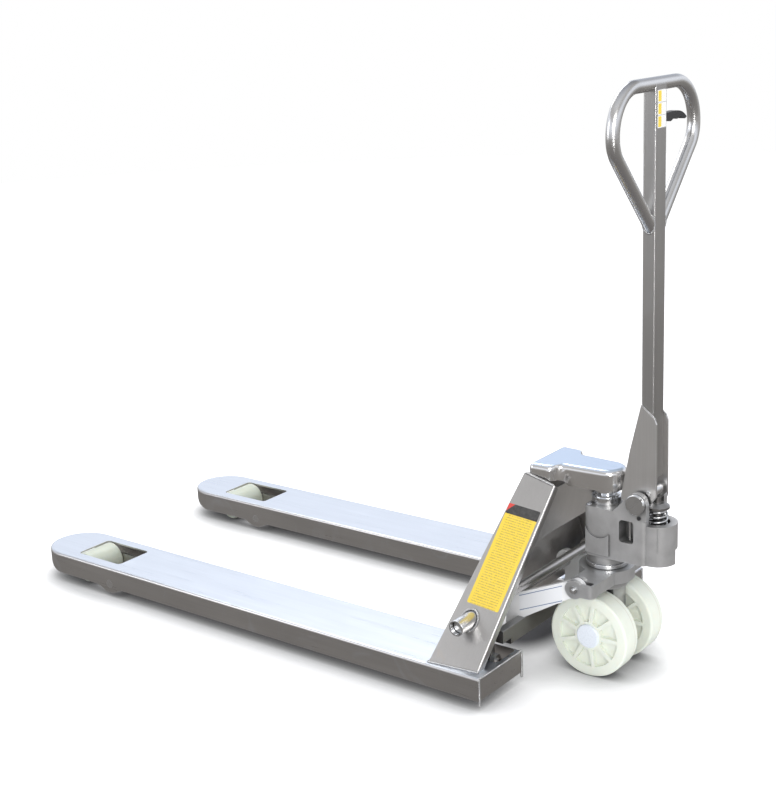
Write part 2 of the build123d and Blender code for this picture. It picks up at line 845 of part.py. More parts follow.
# ---------------------------------------------------------------- base bracket
def crosshead():
    slot_in = arm_y - arm_plate / 2 - arm_gap
    slot_out = arm_y + arm_plate / 2 + arm_gap
    cheek_out = slot_out + cheek_thick
    cheek_in = slot_in - cheek_thick
    with BuildPart() as base:
        with BuildSketch(Plane.XY.offset(base_low_z)):
            with Locations((steer_x, 0)):
                Circle(base_disc_r)
            with Locations((arm_pin_x + base_wing_rear, 0)):
                RectangleRounded(base_wing_depth, 2 * cheek_out, base_wing_corner)
        extrude(amount=base_thick)
        for side in (-1, 1):
            for inner, outer in ((cheek_in, slot_in), (slot_out, cheek_out)):
                with BuildSketch(Plane.XZ.offset(-side * (inner + outer) / 2)):
                    with Locations((arm_pin_x, arm_pin_z)):
                        Circle(cheek_r)
                extrude(amount=(outer - inner) / 2, both=True)
            # slot for the rocker arm, open to the front and below
            with BuildSketch(Plane.XZ.offset(-side * arm_y)):
                with Locations((arm_pin_x + (slot_rear - slot_front) / 2, arm_pin_z)):
                    Rectangle(slot_front + slot_rear, fork_width)
            extrude(amount=(slot_out - slot_in) / 2, both=True, mode=Mode.SUBTRACT)
        with BuildSketch(Plane.XZ):
            with Locations((arm_pin_x, arm_pin_z)):
                Circle(arm_pin_r)
        extrude(amount=fork_width, both=True, mode=Mode.SUBTRACT)
        with BuildSketch(Plane.XY.offset(base_low_z)):
            with Locations((steer_x, 0)):
                Circle(spindle_r + running_fit)
        extrude(amount=base_thick + 1, mode=Mode.SUBTRACT)
    return base


def arm_pins():
    outer = arm_y + arm_plate / 2 + arm_gap + cheek_thick
    inner = arm_y - arm_plate / 2 - arm_gap - cheek_thick
    with BuildPart() as pins:
        for side in (-1, 1):
            with BuildSketch(Plane.XZ.offset(-side * (inner + outer) / 2)):
                with Locations((arm_pin_x, arm_pin_z)):
                    Circle(arm_pin_r)
            extrude(amount=(outer - inner) / 2 + pin_overhang, both=True)
    return pins


def grease_nipples():
    outer = arm_y + arm_plate / 2 + arm_gap + cheek_thick + pin_overhang
    with BuildPart() as nipples:
        for side in (-1, 1):
            with BuildSketch(Plane.XZ.offset(-side * outer)):
                with Locations((arm_pin_x, arm_pin_z)):
                    Circle(nipple_r)
            extrude(amount=-side * nipple_length)
    return nipples


def thrust_race():
    with BuildPart() as race:
        with BuildSketch(Plane.XY.offset(base_low_z + base_thick)):
            with Locations((steer_x, 0)):
                Circle(race_r)
                Circle(spindle_r + side_gap, mode=Mode.SUBTRACT)
        extrude(amount=race_thick)
        rims = race.edges().filter_by(GeomType.CIRCLE).sort_by(SortBy.RADIUS)
        fillet(rims[-2:], radius=race_edge)
    return race


# ---------------------------------------------------------------- steered carrier and wheels
def axle_carrier():
    half = steer_wheel_gap / 2 - carrier_gap
    axle_z = steer_wheel_dia / 2
    top_z = base_low_z - side_gap
    with BuildPart() as carrier:
        with BuildSketch(Plane.XY.offset(steer_wheel_dia + carrier_gap)):
            with Locations((steer_x, 0)):
                Circle(race_r)
        extrude(amount=top_z - steer_wheel_dia - carrier_gap)
        with BuildSketch(Plane.XZ):
            with Locations((steer_x, axle_z)):
                Circle(carrier_foot_r)
            with Locations((steer_x, (axle_z + top_z) / 2)):
                Rectangle(2 * carrier_foot_r, top_z - axle_z)
        extrude(amount=half, both=True)
        with BuildSketch(Plane.XZ):
            with Locations((steer_x, axle_z)):
                Circle(steer_axle_r)
        extrude(amount=steer_wheel_gap, both=True, mode=Mode.SUBTRACT)
        # spindle up through the base bracket and its race
        with BuildSketch(Plane.XY.offset(top_z)):
            with Locations((steer_x, 0)):
                Circle(spindle_r)
        extrude(amount=collar_low_z - top_z)
    return carrier


def steer_axle():
    outer_y = steer_wheel_gap / 2 + steer_wheel_width
    with BuildPart() as axle:
        with BuildSketch(Plane.XZ):
            with Locations((steer_x, steer_wheel_dia / 2)):
                Circle(steer_axle_r)
        extrude(amount=outer_y - hub_cap_thick, both=True)
    return axle


def axle_circlips():
    outer_y = steer_wheel_gap / 2 + steer_wheel_width - bearing_inset + side_gap
    with BuildPart() as rings:
        for side in (-1, 1):
            with BuildSketch(Plane.XZ.offset(-side * outer_y)):
                with Locations((steer_x, steer_wheel_dia / 2)):
                    Circle(steer_axle_r + circlip_lip)
                    Circle(steer_axle_r, mode=Mode.SUBTRACT)
            extrude(amount=-side * circlip_thick)
    return rings


def steer_wheel(side):
    mid_y = side * (steer_wheel_gap + steer_wheel_width) / 2
    radius = steer_wheel_dia / 2
    half = steer_wheel_width / 2
    plane = Plane.XZ.offset(-mid_y)
    with BuildPart() as wheel:
        with BuildSketch(plane):
            with Locations((steer_x, radius)):
                Circle(radius)
        extrude(amount=half, both=True)
        fillet(wheel.edges().filter_by(GeomType.CIRCLE), radius=tread_edge)
        # pockets between the ribs, on both faces
        for face in (-1, 1):
            with BuildSketch(plane.offset(face * half)):
                with Locations((steer_x, radius)):
                    Circle(pocket_outer_r)
                    Circle(hub_r, mode=Mode.SUBTRACT)
                    with PolarLocations((hub_r + pocket_outer_r) / 2, wheel_ribs):
                        Rectangle(pocket_outer_r - hub_r + 4, rib_thick, mode=Mode.SUBTRACT)
            extrude(amount=-face * pocket_depth, mode=Mode.SUBTRACT)
        with BuildSketch(plane):
            with Locations((steer_x, radius)):
                Circle(bearing_r)
        extrude(amount=half + 1, both=True, mode=Mode.SUBTRACT)
    return wheel


def wheel_bearings(side):
    mid_y = side * (steer_wheel_gap + steer_wheel_width) / 2
    half = steer_wheel_width / 2
    with BuildPart() as bearings:
        for face in (-1, 1):
            start = mid_y + face * (half - bearing_inset - bearing_width / 2)
            with BuildSketch(Plane.XZ.offset(-start)):
                with Locations((steer_x, steer_wheel_dia / 2)):
                    Circle(bearing_r)
                    Circle(steer_axle_r + running_fit, mode=Mode.SUBTRACT)
            extrude(amount=bearing_width / 2, both=True)
    return bearings


def hub_cap(side):
    outer_y = side * (steer_wheel_gap / 2 + steer_wheel_width)
    with BuildPart() as cap:
        with BuildSketch(Plane.XZ.offset(-outer_y)):
            with Locations((steer_x, steer_wheel_dia / 2)):
                Circle(hub_cap_r)
        extrude(amount=-side * hub_cap_thick)
        rim = cap.faces().sort_by(Axis.Y)[-1 if side > 0 else 0].edges()
        fillet(rim, radius=hub_cap_thick - 0.5)
    return cap


# ---------------------------------------------------------------- pump unit
def pump_housing():
    with BuildPart() as body:
        # main block under the deck
        with BuildSketch(Plane.XY.offset(body_low_z)):
            with Locations((steer_x + (body_front + body_rear) / 2, 0)):
                RectangleRounded(body_rear - body_front, 2 * body_half_width, 12)
        extrude(amount=deck_z - body_low_z)
        # rounded collar under the block, on the race
        with BuildSketch(Plane.XY.offset(collar_low_z)):
            with Locations((steer_x, 0)):
                Circle(race_r - 3)
        extrude(amount=body_low_z - collar_low_z + 4)
        # rear cylinder for the plunger
        with BuildSketch(Plane.XY.offset(barrel_low_z)):
            with Locations((plunger_x, 0)):
                Circle(barrel_r)
        extrude(amount=barrel_top_z - barrel_low_z)
        with BuildSketch(Plane.XY.offset(body_low_z + 32)):
            with Locations((plunger_x - 10, 0)):
                Rectangle(60, 2 * barrel_r - 8)
        extrude(amount=barrel_top_z - body_low_z - 32)
        # ears beside the handle
        with BuildSketch(Plane.XZ):
            with BuildLine():
                ear_front = (steer_x + 39, deck_z)
                Polyline(
                    (steer_x + 39, deck_z - 10),
                    ear_front,
                    (pivot_x - 17, pivot_z + 14),
                )
                ThreePointArc(
                    (pivot_x - 17, pivot_z + 14), (pivot_x, pivot_z + 22), (pivot_x + 17, pivot_z + 14)
                )
                Polyline(
                    (pivot_x + 17, pivot_z + 14),
                    (steer_x + body_rear, pivot_z),
                    (steer_x + body_rear, deck_z - 10),
                    (steer_x + 39, deck_z - 10),
                )
            make_face()
        extrude(amount=body_half_width, both=True)
        # room between the ears for the handle's fork and the spring
        gap_half = body_half_width - ear_thick
        with BuildSketch(Plane.XZ):
            with BuildLine():
                Polyline(
                    (steer_x + 36, pivot_z + 40),
                    (steer_x + 36, deck_z),
                    (steer_x + 60, deck_z - 12),
                    (steer_x + 78, barrel_top_z),
                    (rear_x + 10, barrel_top_z),
                    (rear_x + 10, pivot_z + 40),
                    close=True,
                )
            make_face()
        extrude(amount=gap_half, both=True, mode=Mode.SUBTRACT)
        # cut away behind the ears, down to the cylinder's rim
        with BuildSketch(Plane.XZ):
            with Locations((steer_x + body_rear + 60, barrel_top_z + 60)):
                Rectangle(120, 120)
        extrude(amount=fork_width, both=True, mode=Mode.SUBTRACT)
        # bottom corner under the rear of the block
        with BuildSketch(Plane.XZ):
            with BuildLine():
                Polyline(
                    (steer_x + 72, body_low_z - 1),
                    (steer_x + 86, body_low_z + 32),
                    (rear_x + 10, body_low_z + 32),
                    (rear_x + 10, body_low_z - 1),
                    close=True,
                )
            make_face()
        extrude(amount=-body_half_width - 1, mode=Mode.SUBTRACT)
        with BuildSketch(Plane.XY.offset(barrel_low_z)):
            with Locations((plunger_x, 0)):
                Circle(barrel_r - 6)
        extrude(amount=body_low_z + 34 - barrel_low_z)
        # well for the spring and bore for the plunger
        with BuildSketch(Plane.XY.offset(barrel_top_z + 20)):
            with Locations((plunger_x, 0)):
                Circle(spring_cap_r + 1.5)
        extrude(amount=spring_seat_z - barrel_top_z - 20, mode=Mode.SUBTRACT)
        with BuildSketch(Plane.XY.offset(spring_seat_z + 1)):
            with Locations((plunger_x, 0)):
                Circle(plunger_r + running_fit)
        extrude(amount=-62, mode=Mode.SUBTRACT)
        # window in the near side, with the valve pocket behind it
        with BuildSketch(Plane.XZ.offset(body_half_width)):
            with Locations((steer_x + 69, 323)):
                RectangleRounded(33, 48, 7)
        extrude(amount=-30, mode=Mode.SUBTRACT)
        # ram bore and pivot bore
        with BuildSketch(Plane.XY.offset(deck_z + 1)):
            with Locations((steer_x, 0)):
                Circle(ram_r + running_fit)
        extrude(amount=-100, mode=Mode.SUBTRACT)
        with BuildSketch(Plane.XZ):
            with Locations((pivot_x, pivot_z)):
                Circle(pivot_r)
        extrude(amount=fork_width, both=True, mode=Mode.SUBTRACT)
    return body


def ram_cap():
    with BuildPart() as cap:
        with BuildSketch(Plane.XY.offset(deck_z)):
            with Locations((steer_x, 0)):
                Circle(ram_cap_r)
                Circle(ram_r + running_fit, mode=Mode.SUBTRACT)
        extrude(amount=ram_cap_z - deck_z - ram_cap_step)
        with BuildSketch(Plane.XY.offset(ram_cap_z - ram_cap_step)):
            with Locations((steer_x, 0)):
                Circle(ram_cap_r - ram_cap_lip)
                Circle(ram_r + running_fit, mode=Mode.SUBTRACT)
        extrude(amount=ram_cap_step - ram_cap_lip + side_gap)
    return cap


def ram_rod():
    with BuildPart() as ram:
        with BuildSketch(Plane.XY.offset(deck_z - ram_depth)):
            with Locations((steer_x, 0)):
                Circle(ram_r)
        extrude(amount=ram_cup_z + ram_head - deck_z + ram_depth)
        fillet(ram.faces().sort_by(Axis.Z)[-1].edges(), radius=ram_edge)
    return ram


def pivot_bolt():
    with BuildPart() as bolt:
        with BuildSketch(Plane.XZ):
            with Locations((pivot_x, pivot_z)):
                Circle(pivot_r)
        extrude(amount=body_half_width, both=True)
        for side in (-1, 1):
            with BuildSketch(Plane.XZ.offset(-side * body_half_width)):
                with Locations((pivot_x, pivot_z)):
                    Circle(bolt_head_r)
            extrude(amount=-side * bolt_head_thick)
        rims = bolt.edges().filter_by(GeomType.CIRCLE).sort_by(SortBy.RADIUS)
        fillet(rims[-4:], radius=bolt_edge)
        with BuildSketch(Plane.XZ.offset(body_half_width + bolt_head_thick)):
            with Locations(Location((pivot_x, pivot_z), 45)):
                Rectangle(3 * bolt_head_r, bolt_slot)
        extrude(amount=-bolt_slot, mode=Mode.SUBTRACT)
    return bolt


def plunger():
    with BuildPart() as rod:
        with BuildSketch(Plane.XY.offset(plunger_top_z)):
            with Locations((plunger_x, 0)):
                Circle(plunger_r)
        extrude(amount=-(plunger_top_z - spring_seat_z + plunger_depth))
        with BuildSketch(Plane.XY.offset(spring_cap_z)):
            with Locations((plunger_x, 0)):
                Circle(spring_cap_r)
        extrude(amount=spring_cap_rim)
        with BuildSketch(Plane.XY.offset(spring_cap_z + spring_cap_rim)):
            with Locations((plunger_x, 0)):
                Circle(spring_cap_r)
        extrude(amount=spring_cap_dome, taper=60)
    return rod


def plunger_spring():
    height = spring_cap_z - spring_seat_z - 2 * spring_wire_r - 2 * spring_gap
    start = Plane(origin=(plunger_x, 0, spring_seat_z + spring_wire_r + spring_gap))
    with BuildPart() as spring:
        with BuildLine(start):
            coil = Helix(pitch=height / spring_turns, height=height, radius=spring_r)
        with BuildSketch(Plane(origin=coil @ 0, z_dir=coil % 0)):
            Circle(spring_wire_r)
        sweep(path=coil, is_frenet=True)
    return spring


def release_rod():
    with BuildPart() as rod:
        with BuildSketch(Plane.XY.offset(release_low_z)):
            with Locations((steer_x + release_reach, release_inset - body_half_width)):
                Circle(release_r)
        extrude(amount=release_length)
    return rod


def deck_plug():
    with BuildPart() as plug:
        with BuildSketch(Plane.XZ.offset(body_half_width)):
            with Locations((pivot_x + plug_r + plug_thick, deck_z - plug_r - 1)):
                Circle(plug_r)
        extrude(amount=plug_thick)
    return plug


def valve_cap():
    with BuildPart() as cap:
        with BuildSketch(Plane.XZ.offset(body_half_width)):
            with BuildLine():
                Polyline(
                    (steer_x - 24, 318),
                    (steer_x - 24, 264),
                    (steer_x + 2, 262),
                    (steer_x + 30, 262),
                    (steer_x + 30, 310),
                )
                ThreePointArc((steer_x + 30, 310), (steer_x + 6, 298), (steer_x - 24, 318))
            make_face()
        extrude(amount=valve_cap_thick)
    return cap


# ---------------------------------------------------------------- handle
def handle_tube():
    with BuildPart() as tube:
        with BuildSketch(Plane.XY.offset(tube_low_z)):
            with Locations((tube_x, 0)):
                RectangleRounded(tube_depth, tube_width, tube_corner)
                offset(amount=-tube_wall, mode=Mode.SUBTRACT)
        extrude(amount=loop_z - tube_low_z)
        with BuildSketch(Plane.XZ):
            with Locations((tube_x, loop_z)):
                Circle(loop_r)
        extrude(amount=tube_width, both=True, mode=Mode.SUBTRACT)
        # slot that the finger lever comes out of
        with BuildSketch(Plane.XZ.offset(-tube_width / 2 - 1)):
            with Locations((tube_x, lever_z)):
                Rectangle(lever_thick + 2 * lever_slot_gap, lever_slot_height)
        extrude(amount=tube_wall + 2, mode=Mode.SUBTRACT)
        with BuildSketch(Plane.YZ.offset(tube_x)):
            with Locations((lever_pin_y, lever_z)):
                Circle(lever_pin_r)
        extrude(amount=tube_depth, both=True, mode=Mode.SUBTRACT)
    return tube


def handle_loop():
    run = loop_half_width - loop_foot_y
    rise = loop_knee_z - loop_foot_z
    with BuildPart() as loop:
        with BuildLine(Plane.YZ.offset(tube_x)):
            FilletPolyline(
                (-loop_foot_y, loop_foot_z),
                (-loop_half_width, loop_knee_z),
                (-loop_half_width, loop_z),
                (loop_half_width, loop_z),
                (loop_half_width, loop_knee_z),
                (loop_foot_y, loop_foot_z),
                radius=[loop_foot_bend, loop_bend, loop_bend, loop_foot_bend],
            )
        with BuildSketch(Plane(origin=(tube_x, -loop_foot_y, loop_foot_z), z_dir=(0, -run, rise))):
            Circle(loop_r)
        sweep()
        with BuildSketch(Plane.XY.offset(loop_foot_z - loop_foot_clear)):
            with Locations((tube_x, 0)):
                Rectangle(tube_depth + loop_r, tube_width)
        extrude(amount=loop_r + 2 * loop_foot_clear, mode=Mode.SUBTRACT)
    return loop


def handle_plates():
    inner = tube_width / 2
    with BuildPart() as plates:
        for side in (-1, 1):
            with BuildSketch(Plane.XZ.offset(-side * inner)):
                with BuildLine():
                    Polyline(
                        (steer_x + 91, 588),
                        (steer_x + 121, 563),
                        (steer_x + 125, 553),
                        (steer_x + 126, 401),
                        (steer_x + 112, 384),
                        (pivot_x - 14, 370),
                        (steer_x + 50, 384),
                        (steer_x + 47, 392),
                        (steer_x + 67, 492),
                        close=True,
                    )
                make_face()
                with Locations((pivot_x, pivot_z)):
                    Circle(pivot_r + running_fit, mode=Mode.SUBTRACT)
                with Locations((pivot_x + press_roller_x, pivot_z + press_roller_z)):
                    Circle(press_pin_r, mode=Mode.SUBTRACT)
            extrude(amount=-side * handle_plate)
    return plates


def press_pin():
    reach = tube_width / 2 + handle_plate + pin_overhang
    with BuildPart() as pin:
        with BuildSketch(Plane.XZ):
            with Locations((pivot_x + press_roller_x, pivot_z + press_roller_z)):
                Circle(press_pin_r)
        extrude(amount=reach, both=True)
    return pin


def press_roller():
    with BuildPart() as roller:
        with BuildSketch(Plane.XZ):
            with Locations((pivot_x + press_roller_x, pivot_z + press_roller_z)):
                Circle(press_roller_r)
                Circle(press_pin_r + running_fit, mode=Mode.SUBTRACT)
        extrude(amount=press_roller_width / 2, both=True)
    return roller


def finger_lever():
    root = lever_pin_y + lever_pin_r + 1
    tip = tube_width / 2 + lever_length
    with BuildPart() as lever:
        with BuildSketch(Plane.YZ.offset(tube_x)):
            with BuildLine():
                Spline(
                    (root, lever_z + 8),
                    (root + 40, lever_z + 7),
                    (tip - 26, lever_z + 5),
                    (tip, lever_z - 8),
                )
                Spline(
                    (tip, lever_z - 8),
                    (tip - 14, lever_z - 10),
                    (tip - 26, lever_z - 5),
                    (tip - 40, lever_z - 9),
                    (tip - 54, lever_z - 7),
                    (tip - 66, lever_z - 11),
                    (tip - 78, lever_z - 9),
                    (root, lever_z - 11),
                )
                Line((root, lever_z - 11), (root, lever_z + 8))
            make_face()
            with Locations((lever_pin_y, lever_z)):
                Circle(lever_root_r)
                Circle(lever_pin_r + running_fit, mode=Mode.SUBTRACT)
        extrude(amount=lever_thick / 2, both=True)
    return lever


def lever_pin():
    with BuildPart() as pin:
        with BuildSketch(Plane.YZ.offset(tube_x)):
            with Locations((lever_pin_y, lever_z)):
                Circle(lever_pin_r)
        extrude(amount=tube_depth / 2, both=True)
    return pin


def control_rod():
    with BuildPart() as rod:
        with BuildSketch(Plane.XY.offset(tube_low_z + control_rod_foot)):
            with Locations((tube_x, 0)):
                Circle(control_rod_r)
        extrude(amount=lever_z - control_rod_head - tube_low_z - control_rod_foot)
    return rod


for side in (-1, 1):
    hand = side_name(side)
    save(fork(side), f"fork_{hand}")
    save(roller_bracket(side), f"roller_bracket_{hand}")
    save(bracket_pins(side), f"bracket_pins_{hand}")
    save(load_roller(side), f"load_roller_{hand}")
    save(push_rod(side), f"push_rod_{hand}")
    save(push_rod_yoke(side), f"push_rod_yoke_{hand}")
    save(push_rod_nuts(side), f"push_rod_nuts_{hand}")
    save(rocker_arm(side), f"rocker_arm_{hand}")
    save(side_plate(side), f"side_plate_{hand}")
    save(steer_wheel(side), f"steer_wheel_{hand}")
    save(wheel_bearings(side), f"wheel_bearings_{hand}")
    save(hub_cap(side), f"hub_cap_{hand}")

for build in (
    bracket_shafts, rocker_shaft, rocker_beam, rocker_cranks, crank_pins, front_plate, rear_plate,
    tie_tube, rocker_bosses, rocker_bushes, bonnet, crosshead, arm_pins, grease_nipples, thrust_race,
    axle_carrier, steer_axle, axle_circlips, pump_housing, ram_cap, ram_rod, pivot_bolt, plunger,
    plunger_spring, release_rod, deck_plug, valve_cap, handle_tube, handle_loop, handle_plates,
    press_pin, press_roller, finger_lever, lever_pin, control_rod,
):
    save(build(), build.__name__)
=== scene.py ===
import math

import bmesh
import bpy
from mathutils import Matrix, Vector


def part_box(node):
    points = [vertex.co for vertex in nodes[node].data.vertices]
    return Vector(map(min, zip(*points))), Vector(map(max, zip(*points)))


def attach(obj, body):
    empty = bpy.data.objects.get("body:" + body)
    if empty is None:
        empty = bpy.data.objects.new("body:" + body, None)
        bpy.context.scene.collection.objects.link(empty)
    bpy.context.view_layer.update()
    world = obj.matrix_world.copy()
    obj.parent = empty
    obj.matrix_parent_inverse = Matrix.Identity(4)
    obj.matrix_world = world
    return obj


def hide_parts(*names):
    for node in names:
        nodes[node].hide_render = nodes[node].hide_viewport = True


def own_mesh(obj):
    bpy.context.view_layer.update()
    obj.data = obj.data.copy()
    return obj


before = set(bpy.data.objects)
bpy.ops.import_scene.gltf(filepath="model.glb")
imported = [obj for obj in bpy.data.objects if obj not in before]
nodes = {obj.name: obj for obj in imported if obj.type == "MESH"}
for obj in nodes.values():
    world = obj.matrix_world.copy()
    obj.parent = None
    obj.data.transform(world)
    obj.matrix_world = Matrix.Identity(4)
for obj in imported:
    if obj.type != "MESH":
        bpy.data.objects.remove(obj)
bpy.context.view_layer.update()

scene = bpy.context.scene
print("frame loaded:", len(nodes), "nodes")


# ---- camera, floor and light ----
cameraLook = {
    "place": (2.062648, -2.516993, 1.411124),
    "yaw": 0.666965,
    "pitch": 0.273780,
    "roll": -0.042419,
    "lens": 66.667,
}


def placeCamera(look):
    yaw, pitch, roll = look["yaw"], look["pitch"], look["roll"]
    level = Vector((-math.sin(yaw), math.cos(yaw), 0))
    right = Vector((math.cos(yaw), math.sin(yaw), 0))
    up = Vector((0, 0, 1))
    ahead = level * math.cos(pitch) - up * math.sin(pitch)
    tilted = up * math.cos(pitch) + level * math.sin(pitch)
    side = right * math.cos(roll) + tilted * math.sin(roll)
    top = tilted * math.cos(roll) - right * math.sin(roll)
    data = bpy.data.cameras.new("studioCamera")
    data.lens = look["lens"]
    data.sensor_width = 36
    data.clip_end = 100
    camera = bpy.data.objects.new("studioCamera", data)
    scene.collection.objects.link(camera)
    turn = Matrix((side, top, -ahead)).transposed().to_4x4()
    camera.matrix_world = Matrix.Translation(look["place"]) @ turn
    scene.camera = camera
    return camera


camera = placeCamera(cameraLook)
scene.view_settings.view_transform = "Standard"

studioLook = {
    "skyStops": [  # height of the ray, 0 down to 1 up, and the light it meets
        (0.00, (0.20, 0.19, 0.19)),
        (0.36, (0.27, 0.26, 0.25)),
        (0.46, (0.46, 0.45, 0.44)),
        (0.54, (0.82, 0.85, 0.91)),
        (0.62, (1.02, 1.06, 1.14)),
        (0.70, (0.98, 1.03, 1.13)),
        (0.78, (0.50, 0.49, 0.48)),
        (1.00, (0.82, 0.84, 0.88)),
    ],
    "floorRadius": 9.0,
    "floorGlow": 0.52,
    "floorColour": (0.86, 0.86, 0.86),
    "floorShade": (0.10, 0.10, 0.105),
    "shadeReach": 0.13,
    # painted shade: a dark patch on the floor under the chassis, between the heel and the wheel
    "paintedShadeSpot": (0.425, 0.060, 0.0),
    "paintedShadeSpotReach": (9.0, 5.2, 0.0),
}


def makeSky(look):
    world = bpy.data.worlds.new("studioSky")
    scene.world = world
    world.use_nodes = True
    tree = world.node_tree
    tree.nodes.clear()
    coord = tree.nodes.new("ShaderNodeTexCoord")
    split = tree.nodes.new("ShaderNodeSeparateXYZ")
    lift = tree.nodes.new("ShaderNodeMath")
    lift.operation = "MULTIPLY_ADD"
    lift.inputs[1].default_value = 0.5
    lift.inputs[2].default_value = 0.5
    ramp = tree.nodes.new("ShaderNodeValToRGB")
    ramp.color_ramp.interpolation = "EASE"
    stops = ramp.color_ramp.elements
    while len(stops) < len(look["skyStops"]):
        stops.new(0.5)
    brightest = 2.0
    for stop, (place, colour) in zip(stops, look["skyStops"]):
        stop.position = place
        stop.color = (*[c / brightest for c in colour], 1)
    glow = tree.nodes.new("ShaderNodeBackground")
    glow.inputs["Strength"].default_value = brightest
    plain = tree.nodes.new("ShaderNodeBackground")
    plain.inputs["Color"].default_value = (1, 1, 1, 1)
    path = tree.nodes.new("ShaderNodeLightPath")
    mix = tree.nodes.new("ShaderNodeMixShader")
    out = tree.nodes.new("ShaderNodeOutputWorld")
    link = tree.links.new
    link(coord.outputs["Generated"], split.inputs[0])
    link(split.outputs["Z"], lift.inputs[0])
    link(lift.outputs[0], ramp.inputs[0])
    link(ramp.outputs["Color"], glow.inputs["Color"])
    link(path.outputs["Is Camera Ray"], mix.inputs[0])
    link(glow.outputs[0], mix.inputs[1])
    link(plain.outputs[0], mix.inputs[2])
    link(mix.outputs[0], out.inputs[0])


def makeFloor(look):
    mesh = bpy.data.meshes.new("studioFloor")
    shape = bmesh.new()
    bmesh.ops.create_circle(shape, cap_ends=True, segments=96, radius=look["floorRadius"])
    shape.to_mesh(mesh)
    shape.free()
    floor = bpy.data.objects.new("studioFloor", mesh)
    scene.collection.objects.link(floor)
    material = bpy.data.materials.new("floorPale")
    material.use_nodes = True
    tree = material.node_tree
    surface = tree.nodes["Principled BSDF"]
    # painted shadow: ambient occlusion darkens the floor's colour and glow near the truck, and the painted
    # shade spot darkens it further
    shade = tree.nodes.new("ShaderNodeAmbientOcclusion")
    shade.samples = 12
    shade.inputs["Distance"].default_value = look["shadeReach"]
    steep = tree.nodes.new("ShaderNodeMath")
    steep.operation = "POWER"
    steep.inputs[1].default_value = 1.5
    coord = tree.nodes.new("ShaderNodeTexCoord")
    away = tree.nodes.new("ShaderNodeVectorMath")
    away.operation = "SUBTRACT"
    away.inputs[1].default_value = look["paintedShadeSpot"]
    squeezed = tree.nodes.new("ShaderNodeVectorMath")
    squeezed.operation = "MULTIPLY"
    squeezed.inputs[1].default_value = look["paintedShadeSpotReach"]
    far = tree.nodes.new("ShaderNodeVectorMath")
    far.operation = "LENGTH"
    clear = tree.nodes.new("ShaderNodeMapRange")
    clear.interpolation_type = "SMOOTHSTEP"
    clear.inputs["From Min"].default_value = 0.35
    clear.inputs["From Max"].default_value = 1.0
    bright = tree.nodes.new("ShaderNodeMath")
    bright.operation = "MULTIPLY"
    tree.links.new(coord.outputs["Object"], away.inputs[0])
    tree.links.new(away.outputs[0], squeezed.inputs[0])
    tree.links.new(squeezed.outputs[0], far.inputs[0])
    tree.links.new(far.outputs["Value"], clear.inputs["Value"])
    tree.links.new(clear.outputs["Result"], bright.inputs[0])
    tree.links.new(steep.outputs[0], bright.inputs[1])
    glow = tree.nodes.new("ShaderNodeMath")
    glow.operation = "MULTIPLY"
    glow.inputs[1].default_value = look["floorGlow"]
    tint = tree.nodes.new("ShaderNodeMix")
    tint.data_type = "RGBA"
    tint.inputs[6].default_value = (*look["floorShade"], 1)
    tint.inputs[7].default_value = (*look["floorColour"], 1)
    tree.links.new(shade.outputs["AO"], steep.inputs[0])
    tree.links.new(bright.outputs[0], glow.inputs[0])
    tree.links.new(bright.outputs[0], tint.inputs[0])
    tree.links.new(tint.outputs[2], surface.inputs["Base Color"])
    tree.links.new(glow.outputs[0], surface.inputs["Emission Strength"])
    surface.inputs["Roughness"].default_value = 1.0
    surface.inputs["Specular IOR Level"].default_value = 0.0
    surface.inputs["Emission Color"].default_value = (1, 1, 1, 1)
    mesh.materials.append(material)
    floor.visible_glossy = False  # steel mirrors the studio, not the floor
    return floor


lamps = [
    # name, place, aim, width, height, watts, colour
    ("keySoftbox", (-1.6, 1.4, 3.0), (0.2, 0, 0), 2.4, 1.6, 44, (1.0, 1.0, 1.0)),
    ("frontSoftbox", (2.6, -2.6, 2.4), (0.4, 0, 0.3), 1.6, 1.6, 42, (1.0, 0.99, 0.97)),
    ("leftSoftbox", (-2.2, -2.4, 1.7), (0.2, 0, 0.3), 1.2, 1.6, 16, (0.97, 0.98, 1.0)),
    ("edgeStrip", (2.3, -1.75, 0.95), (0.6, 0, 0.6), 0.10, 1.6, 9, (1.0, 1.0, 1.0)),
]


def placeLamp(name, place, aim, width, height, watts, colour):
    data = bpy.data.lights.new(name, "AREA")
    data.shape = "RECTANGLE"
    data.size = width
    data.size_y = height
    data.energy = watts
    data.color = colour
    lamp = bpy.data.objects.new(name, data)
    scene.collection.objects.link(lamp)
    lamp.location = place
    lamp.rotation_euler = (Vector(aim) - Vector(place)).to_track_quat("-Z", "Y").to_euler()


makeSky(studioLook)
makeFloor(studioLook)
for lamp in lamps:
    placeLamp(*lamp)
print("studio set")


# ---- shader groups shared by the finishes ----
def shaderGroup(name, inputs, outputs):
    tree = bpy.data.node_groups.new(name, "ShaderNodeTree")
    for label, kind, value in inputs:
        socket = tree.interface.new_socket(label, in_out="INPUT", socket_type=kind)
        socket.default_value = value
    for label, kind in outputs:
        tree.interface.new_socket(label, in_out="OUTPUT", socket_type=kind)
    start = tree.nodes.new("NodeGroupInput")
    end = tree.nodes.new("NodeGroupOutput")
    return tree, start, end


def addMath(tree, operation, a, b=None, c=None, clamp=False):
    node = tree.nodes.new("ShaderNodeMath")
    node.operation = operation
    node.use_clamp = clamp
    for socket, value in zip(node.inputs, (a, b, c)):
        if value is None:
            continue
        if isinstance(value, (int, float)):
            socket.default_value = value
        else:
            tree.links.new(value, socket)
    return node.outputs[0]


def times(tree, a, b, clamp=False):
    return addMath(tree, "MULTIPLY", a, b, clamp=clamp)


def minus(tree, a, b, clamp=False):
    return addMath(tree, "SUBTRACT", a, b, clamp=clamp)


